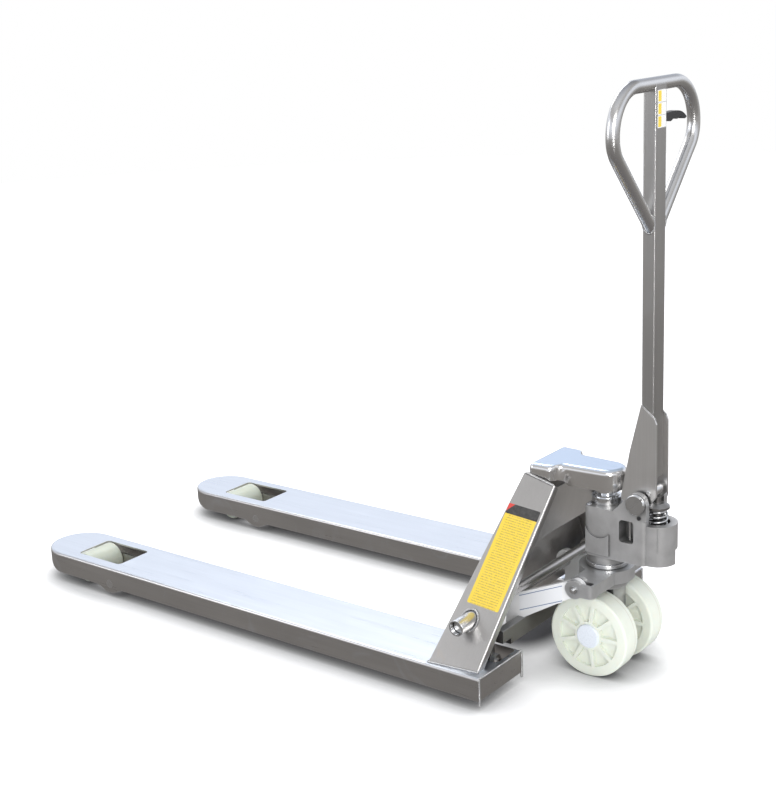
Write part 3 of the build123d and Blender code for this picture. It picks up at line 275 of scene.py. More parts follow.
def addNoise(tree, vector, scale, detail=3.0, rough=0.5):
    node = tree.nodes.new("ShaderNodeTexNoise")
    node.inputs["Detail"].default_value = detail
    node.inputs["Roughness"].default_value = rough
    if isinstance(scale, (int, float)):
        node.inputs["Scale"].default_value = scale
    else:
        tree.links.new(scale, node.inputs["Scale"])
    tree.links.new(vector, node.inputs["Vector"])
    return node.outputs["Fac"]


def stretch(tree, vector, amounts):
    node = tree.nodes.new("ShaderNodeVectorMath")
    node.operation = "MULTIPLY"
    tree.links.new(vector, node.inputs[0])
    if isinstance(amounts, (tuple, list)):
        node.inputs[1].default_value = amounts
    else:
        tree.links.new(amounts, node.inputs[1])
    return node.outputs[0]


def makeBrushedGrain():
    # fine parallel lines, drawn out along the axis with the small number in Stretch
    tree, start, end = shaderGroup(
        "brushedGrain",
        [("Stretch", "NodeSocketVector", (6, 420, 420)), ("Patch", "NodeSocketFloat", 5.0)],
        [("Lines", "NodeSocketFloat"), ("Broad", "NodeSocketFloat")],
    )
    coord = tree.nodes.new("ShaderNodeTexCoord").outputs["Object"]
    fine = addNoise(tree, stretch(tree, coord, start.outputs["Stretch"]), 1.0, 4.0, 0.65)
    drawn = stretch(tree, coord, start.outputs["Stretch"])
    wide = addNoise(tree, stretch(tree, drawn, (1, 0.16, 0.16)), 1.0, 2.0)
    patch = addNoise(tree, coord, start.outputs["Patch"], 2.0)
    lines = addMath(tree, "MULTIPLY_ADD", wide, 0.4, times(tree, fine, 0.6))
    tree.links.new(lines, end.inputs["Lines"])
    tree.links.new(patch, end.inputs["Broad"])
    return tree


def makeHandMarks():
    # smears and cloudy wipes on bare steel
    tree, start, end = shaderGroup(
        "handMarks",
        [("Size", "NodeSocketFloat", 9.0), ("Cover", "NodeSocketFloat", 0.5)],
        [("Marks", "NodeSocketFloat")],
    )
    coord = tree.nodes.new("ShaderNodeTexCoord").outputs["Object"]
    bend = addNoise(tree, coord, 3.0, 2.0)
    moved = tree.nodes.new("ShaderNodeVectorMath")
    moved.operation = "ADD"
    tree.links.new(stretch(tree, coord, (1.0, 1.6, 0.7)), moved.inputs[0])
    tree.links.new(bend, moved.inputs[1])
    cloud = addNoise(tree, moved.outputs[0], start.outputs["Size"], 5.0, 0.6)
    sharp = minus(tree, cloud, minus(tree, 1.0, start.outputs["Cover"]))
    tree.links.new(times(tree, sharp, 3.0, clamp=True), end.inputs["Marks"])
    return tree


def makeEdgeWearAndSheen():
    # 1 on corners: wear that hands and floors rub bright, and a painted edge highlight
    tree, start, end = shaderGroup(
        "edgeWearAndSheen",
        [("Width", "NodeSocketFloat", 0.0015), ("Breakup", "NodeSocketFloat", 60.0)],
        [("Edge", "NodeSocketFloat")],
    )
    rounded = tree.nodes.new("ShaderNodeBevel")
    rounded.samples = 4
    tree.links.new(start.outputs["Width"], rounded.inputs["Radius"])
    plain = tree.nodes.new("ShaderNodeNewGeometry")
    dot = tree.nodes.new("ShaderNodeVectorMath")
    dot.operation = "DOT_PRODUCT"
    tree.links.new(rounded.outputs[0], dot.inputs[0])
    tree.links.new(plain.outputs["Normal"], dot.inputs[1])
    bend = times(tree, minus(tree, 1.0, dot.outputs["Value"]), 6.0, clamp=True)
    coord = tree.nodes.new("ShaderNodeTexCoord").outputs["Object"]
    broken = addNoise(tree, coord, start.outputs["Breakup"], 3.0)
    patchy = times(tree, bend, addMath(tree, "ADD", broken, 0.35), clamp=True)
    tree.links.new(patchy, end.inputs["Edge"])
    return tree


def makePaintedFacingLight():
    # 1 on faces that look up, 0 on walls: tops get painted light, a painted sky reflection colour (a darker
    #                                      painted shade on the loop), walls keep the mill's tone
    tree, start, end = shaderGroup(
        "paintedFacingLight",
        [("Start", "NodeSocketFloat", 0.55), ("Spread", "NodeSocketFloat", 0.4)],
        [("Up", "NodeSocketFloat")],
    )
    plain = tree.nodes.new("ShaderNodeNewGeometry")
    split = tree.nodes.new("ShaderNodeSeparateXYZ")
    tree.links.new(plain.outputs["Normal"], split.inputs[0])
    rise = minus(tree, split.outputs["Z"], start.outputs["Start"])
    tree.links.new(addMath(tree, "DIVIDE", rise, start.outputs["Spread"], clamp=True), end.inputs["Up"])
    return tree


def makeCastSkin():
    # blasted casting: fine grit with shallow pits
    tree, start, end = shaderGroup(
        "castSkin",
        [("Grit", "NodeSocketFloat", 700.0), ("Swell", "NodeSocketFloat", 38.0)],
        [("Height", "NodeSocketFloat"), ("Tone", "NodeSocketFloat")],
    )
    coord = tree.nodes.new("ShaderNodeTexCoord").outputs["Object"]
    grit = addNoise(tree, coord, start.outputs["Grit"], 2.0, 0.6)
    swell = addNoise(tree, coord, start.outputs["Swell"], 4.0, 0.55)
    height = addMath(tree, "MULTIPLY_ADD", grit, 0.45, times(tree, swell, 0.55))
    tree.links.new(height, end.inputs["Height"])
    tree.links.new(swell, end.inputs["Tone"])
    return tree


grainGroup = makeBrushedGrain()
marksGroup = makeHandMarks()
edgeWearAndSheenGroup = makeEdgeWearAndSheen()
paintedFacingLightGroup = makePaintedFacingLight()
castGroup = makeCastSkin()
print("shader groups built")


# ---- finishes ----
def newFinish(name):
    material = bpy.data.materials.new(name)
    material.use_nodes = True
    tree = material.node_tree
    return material, tree, tree.nodes["Principled BSDF"]


def useGroup(tree, group, values):
    node = tree.nodes.new("ShaderNodeGroup")
    node.node_tree = group
    for label, value in values.items():
        node.inputs[label].default_value = value
    return node.outputs


def blendColour(tree, amount, first, second):
    node = tree.nodes.new("ShaderNodeMix")
    node.data_type = "RGBA"
    for socket, value in ((node.inputs[0], amount), (node.inputs[6], first), (node.inputs[7], second)):
        if isinstance(value, (int, float)):
            socket.default_value = value
        elif isinstance(value, tuple):
            socket.default_value = (*value, 1)
        else:
            tree.links.new(value, socket)
    return node.outputs[2]


def addBump(tree, surface, height, strength, distance):
    bump = tree.nodes.new("ShaderNodeBump")
    bump.inputs["Strength"].default_value = strength
    bump.inputs["Distance"].default_value = distance
    tree.links.new(height, bump.inputs["Height"])
    tree.links.new(bump.outputs[0], surface.inputs["Normal"])


def brushedSteel(name, look):
    material, tree, surface = newFinish(name)
    surface.inputs["Metallic"].default_value = 1.0
    grain = useGroup(tree, grainGroup, {"Stretch": look["stretch"], "Patch": look.get("patch", 5.0)})
    marks = useGroup(tree, marksGroup, {"Size": look.get("markSize", 9.0), "Cover": look.get("cover", 0.45)})
    edge = useGroup(tree, edgeWearAndSheenGroup, {"Width": look.get("edgeWidth", 0.0014), "Breakup": 55.0})
    up = useGroup(tree, paintedFacingLightGroup, {})
    wall = blendColour(tree, grain["Broad"], look["wall"], look["wallDark"])
    # painted light: faces that look up take the top colour, a painted sky reflection
    colour = blendColour(tree, up["Up"], wall, look["top"])
    lineShade = blendColour(tree, grain["Lines"], (0.80, 0.80, 0.80), (1.16, 1.16, 1.16))
    shaded = tree.nodes.new("ShaderNodeMix")
    shaded.data_type = "RGBA"
    shaded.blend_type = "MULTIPLY"
    shaded.inputs[0].default_value = look.get("lineTone", 0.6)
    tree.links.new(colour, shaded.inputs[6])
    tree.links.new(lineShade, shaded.inputs[7])
    smear = times(tree, marks["Marks"], look.get("markTone", 0.25))
    wiped = blendColour(tree, smear, shaded.outputs[2], look["top"])
    # corners painted near white: partly wear, partly a painted edge highlight
    rubbedAndSheen = times(tree, edge["Edge"], look.get("edgeTone", 0.7))
    wornAndSheen = blendColour(tree, rubbedAndSheen, wiped, (0.92, 0.93, 0.95))
    if "heatPlace" in look:
        place = tree.nodes.new("ShaderNodeTexCoord").outputs["Object"]
        away = tree.nodes.new("ShaderNodeVectorMath")
        away.operation = "DISTANCE"
        away.inputs[1].default_value = look["heatPlace"]
        tree.links.new(place, away.inputs[0])
        share = addMath(tree, "DIVIDE", away.outputs["Value"], look["heatReach"])
        near = minus(tree, 1.0, share, clamp=True)
        patchy = times(tree, near, times(tree, marks["Marks"], look["heatTone"] * 2), clamp=True)
        wornAndSheen = blendColour(tree, patchy, wornAndSheen, (0.66, 0.47, 0.28))
    tree.links.new(wornAndSheen, surface.inputs["Base Color"])
    low, high = look["rough"]
    rough = addMath(tree, "MULTIPLY_ADD", grain["Lines"], high - low, low)
    rough = addMath(tree, "MULTIPLY_ADD", marks["Marks"], look.get("markRough", 0.08), rough)
    tree.links.new(rough, surface.inputs["Roughness"])
    addBump(tree, surface, grain["Lines"], look.get("bump", 0.35), 0.0004)
    return material


def castSteel(name, look):
    material, tree, surface = newFinish(name)
    surface.inputs["Metallic"].default_value = look.get("metal", 0.9)
    skin = useGroup(tree, castGroup, {"Grit": look["grit"], "Swell": look.get("swell", 38.0)})
    edge = useGroup(tree, edgeWearAndSheenGroup, {"Width": 0.0016, "Breakup": 90.0})
    # painted shade: ambient occlusion darkens the casting and the weld beads toward near black in hollows and
    # between parts
    shade = tree.nodes.new("ShaderNodeAmbientOcclusion")
    shade.samples = 8
    shade.inputs["Distance"].default_value = look.get("grimeReach", 0.025)
    dry = blendColour(tree, skin["Tone"], look["dark"], look["light"])
    hollowShade = addMath(tree, "POWER", shade.outputs["AO"], look.get("grimePower", 1.4))
    base = blendColour(tree, hollowShade, (0.05, 0.048, 0.046), dry)
    # corners painted near white: partly wear, partly a painted edge highlight
    rubbedAndSheen = times(tree, edge["Edge"], look.get("edgeTone", 0.55))
    wornAndSheen = blendColour(tree, rubbedAndSheen, base, (0.85, 0.86, 0.88))
    tree.links.new(wornAndSheen, surface.inputs["Base Color"])
    low, high = look["rough"]
    rough = addMath(tree, "MULTIPLY_ADD", skin["Height"], high - low, low)
    tree.links.new(rough, surface.inputs["Roughness"])
    addBump(tree, surface, skin["Height"], look.get("bump", 0.6), 0.0009)
    return material


def nylonFinish(name, look):
    material, tree, surface = newFinish(name)
    surface.inputs["Subsurface Weight"].default_value = 0.35
    surface.inputs["Subsurface Radius"].default_value = (0.006, 0.005, 0.004)
    surface.inputs["Coat Weight"].default_value = 0.12
    coord = tree.nodes.new("ShaderNodeTexCoord").outputs["Object"]
    cloud = addNoise(tree, coord, look["cloudSize"], 4.0)
    speck = addNoise(tree, coord, 240.0, 2.0)
    base = blendColour(tree, cloud, look["light"], look["shade"])
    split = tree.nodes.new("ShaderNodeSeparateXYZ")
    tree.links.new(coord, split.inputs[0])
    offsets = [minus(tree, split.outputs["Y"], y) for y in look["seams"]]
    near, far = [addMath(tree, "ABSOLUTE", offset) for offset in offsets]
    across = addMath(tree, "MINIMUM", near, far)
    line = minus(tree, 1.0, addMath(tree, "DIVIDE", across, look["seamWidth"]), clamp=True)
    faint = times(tree, line, times(tree, cloud, look["seamTone"]))
    scuffs = useGroup(tree, marksGroup, {"Size": 30.0, "Cover": 0.36})
    marked = blendColour(tree, faint, base, look["seam"])
    dirty = blendColour(tree, times(tree, scuffs["Marks"], 0.22), marked, look["dirt"])
    tree.links.new(dirty, surface.inputs["Base Color"])
    tree.links.new(addMath(tree, "MULTIPLY_ADD", cloud, 0.22, 0.36), surface.inputs["Roughness"])
    addBump(tree, surface, speck, 0.12, 0.0004)
    return material


def paintedFinish(name, look):
    material, tree, surface = newFinish(name)
    coord = tree.nodes.new("ShaderNodeTexCoord").outputs["Object"]
    grain = addNoise(tree, coord, look["grain"], 3.0)
    cloud = addNoise(tree, coord, 14.0, 3.0)
    edge = useGroup(tree, edgeWearAndSheenGroup, {"Width": 0.001, "Breakup": 80.0})
    base = blendColour(tree, cloud, look["light"], look["dark"])
    # edges take the edge colour: partly wear, partly a painted edge highlight
    rubbedAndSheen = times(tree, edge["Edge"], look.get("edgeTone", 0.3))
    wornAndSheen = blendColour(tree, rubbedAndSheen, base, look["wornAndSheen"])
    tree.links.new(wornAndSheen, surface.inputs["Base Color"])
    low, high = look["rough"]
    tree.links.new(addMath(tree, "MULTIPLY_ADD", grain, high - low, low), surface.inputs["Roughness"])
    surface.inputs["Metallic"].default_value = look.get("metal", 0.0)
    addBump(tree, surface, grain, look.get("bump", 0.25), 0.0004)
    return material


# top is the colour painted on up-facing faces: a painted sky reflection, and on the loop a darker painted
# shade; hand marks lean toward it too
steelLooks = {
    "forkSteel": {
        "stretch": (5, 380, 380), "wall": (0.62, 0.60, 0.585), "wallDark": (0.50, 0.485, 0.475),
        "top": (0.74, 0.785, 0.86), "rough": (0.20, 0.40), "markTone": 0.45, "bump": 0.22,
    },
    "frameSteel": {
        "stretch": (420, 420, 7), "wall": (0.60, 0.585, 0.57), "wallDark": (0.50, 0.485, 0.47),
        "top": (0.64, 0.635, 0.63), "rough": (0.26, 0.42), "markTone": 0.15, "bump": 0.3,
        "heatPlace": (0.435, -0.315, 0.098), "heatReach": 0.06, "heatTone": 0.5,
    },
    "bonnetSteel": {
        "stretch": (90, 240, 240), "wall": (0.84, 0.82, 0.80), "wallDark": (0.70, 0.685, 0.67),
        "top": (0.55, 0.65, 0.80), "rough": (0.16, 0.26), "markTone": 0.3, "lineTone": 0.25, "bump": 0.1,
    },
    "handleSteel": {
        "stretch": (460, 460, 6), "wall": (0.60, 0.59, 0.58), "wallDark": (0.47, 0.465, 0.46),
        "top": (0.70, 0.72, 0.76), "rough": (0.22, 0.38), "markTone": 0.2, "bump": 0.25, "edgeTone": 0.9,
    },
    "plateSteel": {
        "stretch": (420, 420, 7), "wall": (0.80, 0.785, 0.765), "wallDark": (0.70, 0.685, 0.67),
        "top": (0.70, 0.70, 0.70), "rough": (0.28, 0.44), "markTone": 0.15, "bump": 0.3,
    },
    "loopSteel": {
        "stretch": (260, 40, 60), "wall": (0.76, 0.75, 0.74), "wallDark": (0.62, 0.615, 0.61),
        "top": (0.30, 0.31, 0.34), "rough": (0.20, 0.32), "markTone": 0.25, "lineTone": 0.35, "bump": 0.12,
    },
    "turnedSteel": {
        "stretch": (60, 520, 520), "wall": (0.72, 0.72, 0.72), "wallDark": (0.60, 0.60, 0.60),
        "top": (0.78, 0.80, 0.83), "rough": (0.14, 0.28), "markTone": 0.2, "bump": 0.15,
    },
    "gunSteel": {
        "stretch": (8, 300, 300), "wall": (0.30, 0.29, 0.28), "wallDark": (0.20, 0.19, 0.185),
        "top": (0.36, 0.36, 0.36), "rough": (0.32, 0.5), "markTone": 0.1,
    },
}
finishes = {name: brushedSteel(name, look) for name, look in steelLooks.items()}
finishes["castHousing"] = castSteel("castHousing", {
    "grit": 520.0, "dark": (0.48, 0.475, 0.47), "light": (0.74, 0.735, 0.73), "rough": (0.36, 0.58)})
finishes["castBase"] = castSteel("castBase", {
    "grit": 480.0, "dark": (0.56, 0.56, 0.56), "light": (0.78, 0.785, 0.79),
    "rough": (0.30, 0.48), "bump": 0.45})
finishes["weldSteel"] = castSteel("weldSteel", {
    "grit": 900.0, "dark": (0.40, 0.39, 0.38), "light": (0.80, 0.795, 0.79),
    "rough": (0.22, 0.42), "metal": 1.0, "bump": 0.4})
finishes["wheelNylon"] = nylonFinish("wheelNylon", {
    "cloudSize": 26.0, "light": (0.82, 0.85, 0.76), "shade": (0.74, 0.77, 0.68), "seam": (0.42, 0.34, 0.22),
    "seams": (-0.043, 0.067), "seamWidth": 0.0010, "seamTone": 1.1, "dirt": (0.62, 0.60, 0.50)})
finishes["rollerNylon"] = nylonFinish("rollerNylon", {
    "cloudSize": 30.0, "light": (0.66, 0.70, 0.60), "shade": (0.58, 0.62, 0.52), "seam": (0.50, 0.42, 0.28),
    "seams": (-0.2625, 0.2625), "seamWidth": 0.0008, "seamTone": 0.5, "dirt": (0.60, 0.56, 0.46)})
finishes["capPlastic"] = paintedFinish("capPlastic", {
    "grain": 300.0, "light": (0.78, 0.82, 0.88), "dark": (0.72, 0.77, 0.84), "wornAndSheen": (0.88, 0.90, 0.94),
    "rough": (0.22, 0.34), "bump": 0.08})
finishes["armFilm"] = paintedFinish("armFilm", {
    "grain": 420.0, "light": (0.86, 0.86, 0.86), "dark": (0.80, 0.80, 0.80), "wornAndSheen": (0.55, 0.56, 0.58),
    "rough": (0.30, 0.42), "bump": 0.1})
finishes["blackPlastic"] = paintedFinish("blackPlastic", {
    "grain": 700.0, "light": (0.022, 0.022, 0.024), "dark": (0.012, 0.012, 0.013),
    "wornAndSheen": (0.10, 0.10, 0.10), "rough": (0.34, 0.55)})
finishes["bushBronze"] = paintedFinish("bushBronze", {
    "grain": 520.0, "light": (0.62, 0.45, 0.25), "dark": (0.48, 0.33, 0.18),
    "wornAndSheen": (0.80, 0.62, 0.38), "rough": (0.3, 0.5), "metal": 1.0})
print("finishes built:", len(finishes))

dressing = {
    "forkSteel": ["fork_left", "fork_right"],
    "plateSteel": ["handle_plates", "front_plate", "rear_plate"],
    "frameSteel": ["side_plate_left", "side_plate_right", "tie_tube",
                   "roller_bracket_left", "roller_bracket_right", "rocker_cranks"],
    "bonnetSteel": ["bonnet"],
    "handleSteel": ["handle_tube"],
    "loopSteel": ["handle_loop"],
    "turnedSteel": ["rocker_bosses", "rocker_shaft", "bracket_shafts",
                    "bracket_pins_left", "bracket_pins_right", "crank_pins", "lever_pin", "arm_pins",
                    "grease_nipples", "thrust_race", "steer_axle", "axle_circlips",
                    "ram_cap", "ram_rod", "pivot_bolt", "plunger_spring", "press_pin", "press_roller",
                    "push_rod_nuts_left", "push_rod_nuts_right", "control_rod", "release_rod",
                    "wheel_bearings_left", "wheel_bearings_right"],
    "gunSteel": ["rocker_beam", "push_rod_left", "push_rod_right",
                 "push_rod_yoke_left", "push_rod_yoke_right", "plunger"],
    "castHousing": ["pump_housing", "valve_cap", "axle_carrier"],
    "castBase": ["crosshead"],
    "wheelNylon": ["steer_wheel_left", "steer_wheel_right"],
    "rollerNylon": ["load_roller_left", "load_roller_right"],
    "capPlastic": ["hub_cap_left", "hub_cap_right"],
    "armFilm": ["rocker_arm_left", "rocker_arm_right"],
    "blackPlastic": ["finger_lever", "deck_plug"],
    "bushBronze": ["rocker_bushes"],
}
for finish, names in dressing.items():
    for name in names:
        slots = nodes[name].data.materials
        slots.clear()
        slots.append(finishes[finish])
print("nodes dressed")


# ---- node trees that repeat small things ----
def geometryTree(name, inputs):
    tree = bpy.data.node_groups.new(name, "GeometryNodeTree")
    tree.interface.new_socket("Geometry", in_out="INPUT", socket_type="NodeSocketGeometry")
    for label, kind, value in inputs:
        socket = tree.interface.new_socket(label, in_out="INPUT", socket_type=kind)
        if value is not None:
            socket.default_value = value
    tree.interface.new_socket("Geometry", in_out="OUTPUT", socket_type="NodeSocketGeometry")
    return tree, tree.nodes.new("NodeGroupInput"), tree.nodes.new("NodeGroupOutput")


def makeWeldTree():
    # ripples of a weld bead, one lens after another along each path
    tree, start, end = geometryTree("weldBeads", [
        ("Bead Radius", "NodeSocketFloat", 0.0024),
        ("Bead Step", "NodeSocketFloat", 0.0016),
        ("Seed", "NodeSocketInt", 3),
        ("Finish", "NodeSocketMaterial", None),
    ])
    link = tree.links.new
    curve = tree.nodes.new("GeometryNodeMeshToCurve")
    even = tree.nodes.new("GeometryNodeResampleCurve")
    even.mode = "LENGTH"
    bead = tree.nodes.new("GeometryNodeMeshUVSphere")
    bead.inputs["Segments"].default_value = 10
    bead.inputs["Rings"].default_value = 6
    tangent = tree.nodes.new("GeometryNodeInputTangent")
    turn = tree.nodes.new("FunctionNodeAlignRotationToVector")
    turn.axis = "Z"
    vary = tree.nodes.new("FunctionNodeRandomValue")
    vary.data_type = "FLOAT_VECTOR"
    vary.inputs[0].default_value = (0.88, 0.88, 0.62)
    vary.inputs[1].default_value = (1.12, 1.12, 0.84)
    plant = tree.nodes.new("GeometryNodeInstanceOnPoints")
    real = tree.nodes.new("GeometryNodeRealizeInstances")
    paint = tree.nodes.new("GeometryNodeSetMaterial")
    link(start.outputs["Geometry"], curve.inputs[0])
    link(curve.outputs[0], even.inputs["Curve"])
    link(start.outputs["Bead Step"], even.inputs["Length"])
    link(start.outputs["Bead Radius"], bead.inputs["Radius"])
    link(tangent.outputs[0], turn.inputs["Vector"])
    link(start.outputs["Seed"], vary.inputs["Seed"])
    link(even.outputs[0], plant.inputs["Points"])
    link(bead.outputs[0], plant.inputs["Instance"])
    link(turn.outputs[0], plant.inputs["Rotation"])
    link(vary.outputs[0], plant.inputs["Scale"])
    link(plant.outputs[0], real.inputs[0])
    link(real.outputs[0], paint.inputs["Geometry"])
    link(start.outputs["Finish"], paint.inputs["Material"])
    link(paint.outputs[0], end.inputs["Geometry"])
    return tree


def makeScrewTree():
    # a hexagon head on a washer at every vertex, standing along the vertex's normal
    tree, start, end = geometryTree("screwHeads", [
        ("Head Radius", "NodeSocketFloat", 0.005),
        ("Head Height", "NodeSocketFloat", 0.004),
        ("Sides", "NodeSocketInt", 6),
        ("Seed", "NodeSocketInt", 5),
        ("Finish", "NodeSocketMaterial", None),
    ])
    link = tree.links.new
    head = tree.nodes.new("GeometryNodeMeshCylinder")
    washer = tree.nodes.new("GeometryNodeMeshCylinder")
    washer.inputs["Vertices"].default_value = 28
    wide = tree.nodes.new("ShaderNodeMath")
    wide.operation = "MULTIPLY"
    wide.inputs[1].default_value = 1.45
    thin = tree.nodes.new("ShaderNodeMath")
    thin.operation = "MULTIPLY"
    thin.inputs[1].default_value = 0.35
    half = tree.nodes.new("ShaderNodeMath")
    half.operation = "MULTIPLY"
    half.inputs[1].default_value = 0.5
    rise = tree.nodes.new("ShaderNodeCombineXYZ")
    raised = tree.nodes.new("GeometryNodeTransform")
    join = tree.nodes.new("GeometryNodeJoinGeometry")
    normal = tree.nodes.new("GeometryNodeInputNamedAttribute")
    normal.data_type = "FLOAT_VECTOR"
    normal.inputs["Name"].default_value = "aim"
    turn = tree.nodes.new("FunctionNodeAlignRotationToVector")
    turn.axis = "Z"
    spin = tree.nodes.new("FunctionNodeRandomValue")
    spin.data_type = "FLOAT_VECTOR"
    spin.inputs[0].default_value = (0, 0, 0)
    spin.inputs[1].default_value = (0, 0, 1.05)
    twist = tree.nodes.new("FunctionNodeRotateRotation")
    twist.rotation_space = "LOCAL"
    plant = tree.nodes.new("GeometryNodeInstanceOnPoints")
    real = tree.nodes.new("GeometryNodeRealizeInstances")
    paint = tree.nodes.new("GeometryNodeSetMaterial")
    link(start.outputs["Sides"], head.inputs["Vertices"])
    link(start.outputs["Head Radius"], head.inputs["Radius"])
    link(start.outputs["Head Height"], head.inputs["Depth"])
    link(start.outputs["Head Radius"], wide.inputs[0])
    link(start.outputs["Head Height"], thin.inputs[0])
    link(start.outputs["Head Height"], half.inputs[0])
    link(wide.outputs[0], washer.inputs["Radius"])
    link(thin.outputs[0], washer.inputs["Depth"])
    link(half.outputs[0], rise.inputs["Z"])
    link(head.outputs[0], raised.inputs["Geometry"])
    link(rise.outputs[0], raised.inputs["Translation"])
    link(raised.outputs[0], join.inputs[0])
    link(washer.outputs[0], join.inputs[0])
    link(normal.outputs[0], turn.inputs["Vector"])
    link(start.outputs["Seed"], spin.inputs["Seed"])
    link(turn.outputs[0], twist.inputs["Rotation"])
    link(spin.outputs[0], twist.inputs["Rotate By"])
    link(start.outputs["Geometry"], plant.inputs["Points"])
    link(join.outputs[0], plant.inputs["Instance"])
    link(twist.outputs[0], plant.inputs["Rotation"])
    link(plant.outputs[0], real.inputs[0])
    link(real.outputs[0], paint.inputs["Geometry"])
    link(start.outputs["Finish"], paint.inputs["Material"])
    link(paint.outputs[0], end.inputs["Geometry"])
    return tree


weldTree = makeWeldTree()
screwTree = makeScrewTree()


def growTree(name, mesh, tree, values, body):
    # runs the tree on the mesh and keeps the result as a plain piece
    seedObject = bpy.data.objects.new(name + "Seed", mesh)
    scene.collection.objects.link(seedObject)
    modifier = seedObject.modifiers.new("grow", "NODES")
    modifier.node_group = tree
    for item in tree.interface.items_tree:
        if item.item_type == "SOCKET" and item.in_out == "INPUT" and item.name in values:
            modifier[item.identifier] = values[item.name]
    bpy.context.view_layer.update()
    grown = seedObject.evaluated_get(bpy.context.evaluated_depsgraph_get())
    plain = bpy.data.meshes.new_from_object(grown)
    plain.name = name
    finish = values["Finish"]
    if not plain.materials:
        plain.materials.append(finish)
    for face in plain.polygons:
        face.use_smooth = values.get("Smooth", True)
    bpy.data.objects.remove(seedObject)
    piece = bpy.data.objects.new(name, plain)
    scene.collection.objects.link(piece)
    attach(piece, body)
    return piece


def pathMesh(name, paths):
    mesh = bpy.data.meshes.new(name + "Path")
    points, edges = [], []
    for path in paths:
        first = len(points)
        points += [tuple(p) for p in path]
        edges += [(first + i, first + i + 1) for i in range(len(path) - 1)]
    mesh.from_pydata(points, edges, [])
    return mesh


def pointMesh(name, spots):
    # spots are (place, direction)
    mesh = bpy.data.meshes.new(name + "Spots")
    mesh.from_pydata([tuple(place) for place, aim in spots], [], [])
    aims = mesh.attributes.new("aim", "FLOAT_VECTOR", "POINT")
    for item, (place, aim) in zip(aims.data, spots):
        item.vector = aim
    return mesh


def between(a, b, count=8):
    a, b = Vector(a), Vector(b)
    return [a.lerp(b, i / count) for i in range(count + 1)]


# ---- places taken from the frame ----
low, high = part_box("fork_left")
heelX, forkTop = high.x, high.z
steerX = (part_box("steer_axle")[0].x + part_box("steer_axle")[1].x) / 2
rockerLow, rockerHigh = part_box("rocker_shaft")
rockerX, rockerZ = (rockerLow.x + rockerHigh.x) / 2, (rockerLow.z + rockerHigh.z) / 2
tubeLow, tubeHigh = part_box("handle_tube")
tubeX = (tubeLow.x + tubeHigh.x) / 2


# ---- leaning side plates: the plane of their outer faces ----
plateLook = {
    "frontFoot": (heelX - 0.130, 0.331, forkTop - 0.0004),
    "rearFoot": (heelX - 0.016, 0.319, forkTop - 0.0004),
    "frontTop": (heelX - 0.055, 0.075, 0.420),
    "rearTopX": heelX + 0.021,
    "rearTopZ": 0.405,
}


def platePoint(side, x, z, proud=0.0):
    # place on the outer face of a side plate, lifted off it by proud
    foot = Vector(plateLook["frontFoot"])
    normal = (Vector(plateLook["rearFoot"]) - foot).cross(Vector(plateLook["frontTop"]) - foot)
    normal.normalize()
    if normal.y < 0:
        normal = -normal
    y = foot.y - (normal.x * (x - foot.x) + normal.z * (z - foot.z)) / normal.y
    place = Vector((x, y, z)) + normal * proud
    return Vector((place.x, side * place.y, place.z))


def plateNormal(side):
    flat = platePoint(side, 0.5, 0.2)
    out = platePoint(side, 0.5, 0.2, 0.01) - flat
    return out.normalized()


def plateRearX(z):
    share = (z - forkTop) / (plateLook["rearTopZ"] - forkTop)
    return plateLook["rearFoot"][0] + share * (plateLook["rearTopX"] - plateLook["rearFoot"][0])


# ---- welds on the chassis ----
weldLook = {
    "footProud": 0.001, "wallSink": 0.0008, "ledgeSink": 0.0015, "endGap": 0.003, "ringProud": 0.0004,
    "footRadius": 0.0030, "footStep": 0.0024, "bossReach": 0.0192, "capRadius": 0.0034, "capStep": 0.0030,
    "cornerInset": 0.0038, "handleRadius": 0.0022, "handleStep": 0.0019,
    "plateTop": ((0.7365, 0.588), (0.7665, 0.563)), "plateY": 0.0226,
    "footZ": 0.950, "footRise": 0.0185, "loopReach": 0.0128, "loopY": 0.0220,
}


def chassisWeldPaths():
    paths = []
    for side in (-1, 1):
        proud = weldLook["footProud"]
        ends = [(place[0], side * (place[1] + proud), forkTop + proud / 2)
                for place in (plateLook["frontFoot"], plateLook["rearFoot"])]
        paths.append(between(*ends))
        ring = []
        for i in range(49):
            turn = i / 48 * math.tau
            ring.append(platePoint(side, rockerX + weldLook["bossReach"] * math.cos(turn),
                                   rockerZ + weldLook["bossReach"] * math.sin(turn), weldLook["ringProud"]))
        paths.append(ring)
        edgeY = side * (high.y - low.y) / 2
        outerY = side * (abs(low.y) - weldLook["cornerInset"])
        innerY = outerY - 2 * edgeY + side * weldLook["cornerInset"]
        wallX, ledgeX = heelX - weldLook["wallSink"], heelX - weldLook["ledgeSink"]
        foot, top = low.z + weldLook["endGap"], forkTop - weldLook["endGap"]
        for y in (outerY, innerY):
            paths.append(between((wallX, y, foot), (wallX, y, top)))
        paths.append(between((ledgeX, outerY, top), (ledgeX, innerY, top)))
    return paths


def bonnetWeldPaths():
    # along the joint between each side plate's top and the bonnet's rim
    paths = []
    for side in (-1, 1):
        start, end = plateLook["frontTop"], (plateLook["rearTopX"], plateLook["rearTopZ"])
        run, drop = end[0] - start[0] - 0.010, end[1] - start[2]
        paths.append([
            platePoint(side, start[0] + 0.004 + i / 20 * run, start[2] + 0.0008 + i / 20 * drop, -0.0012)
            for i in range(21)
        ])
    return paths


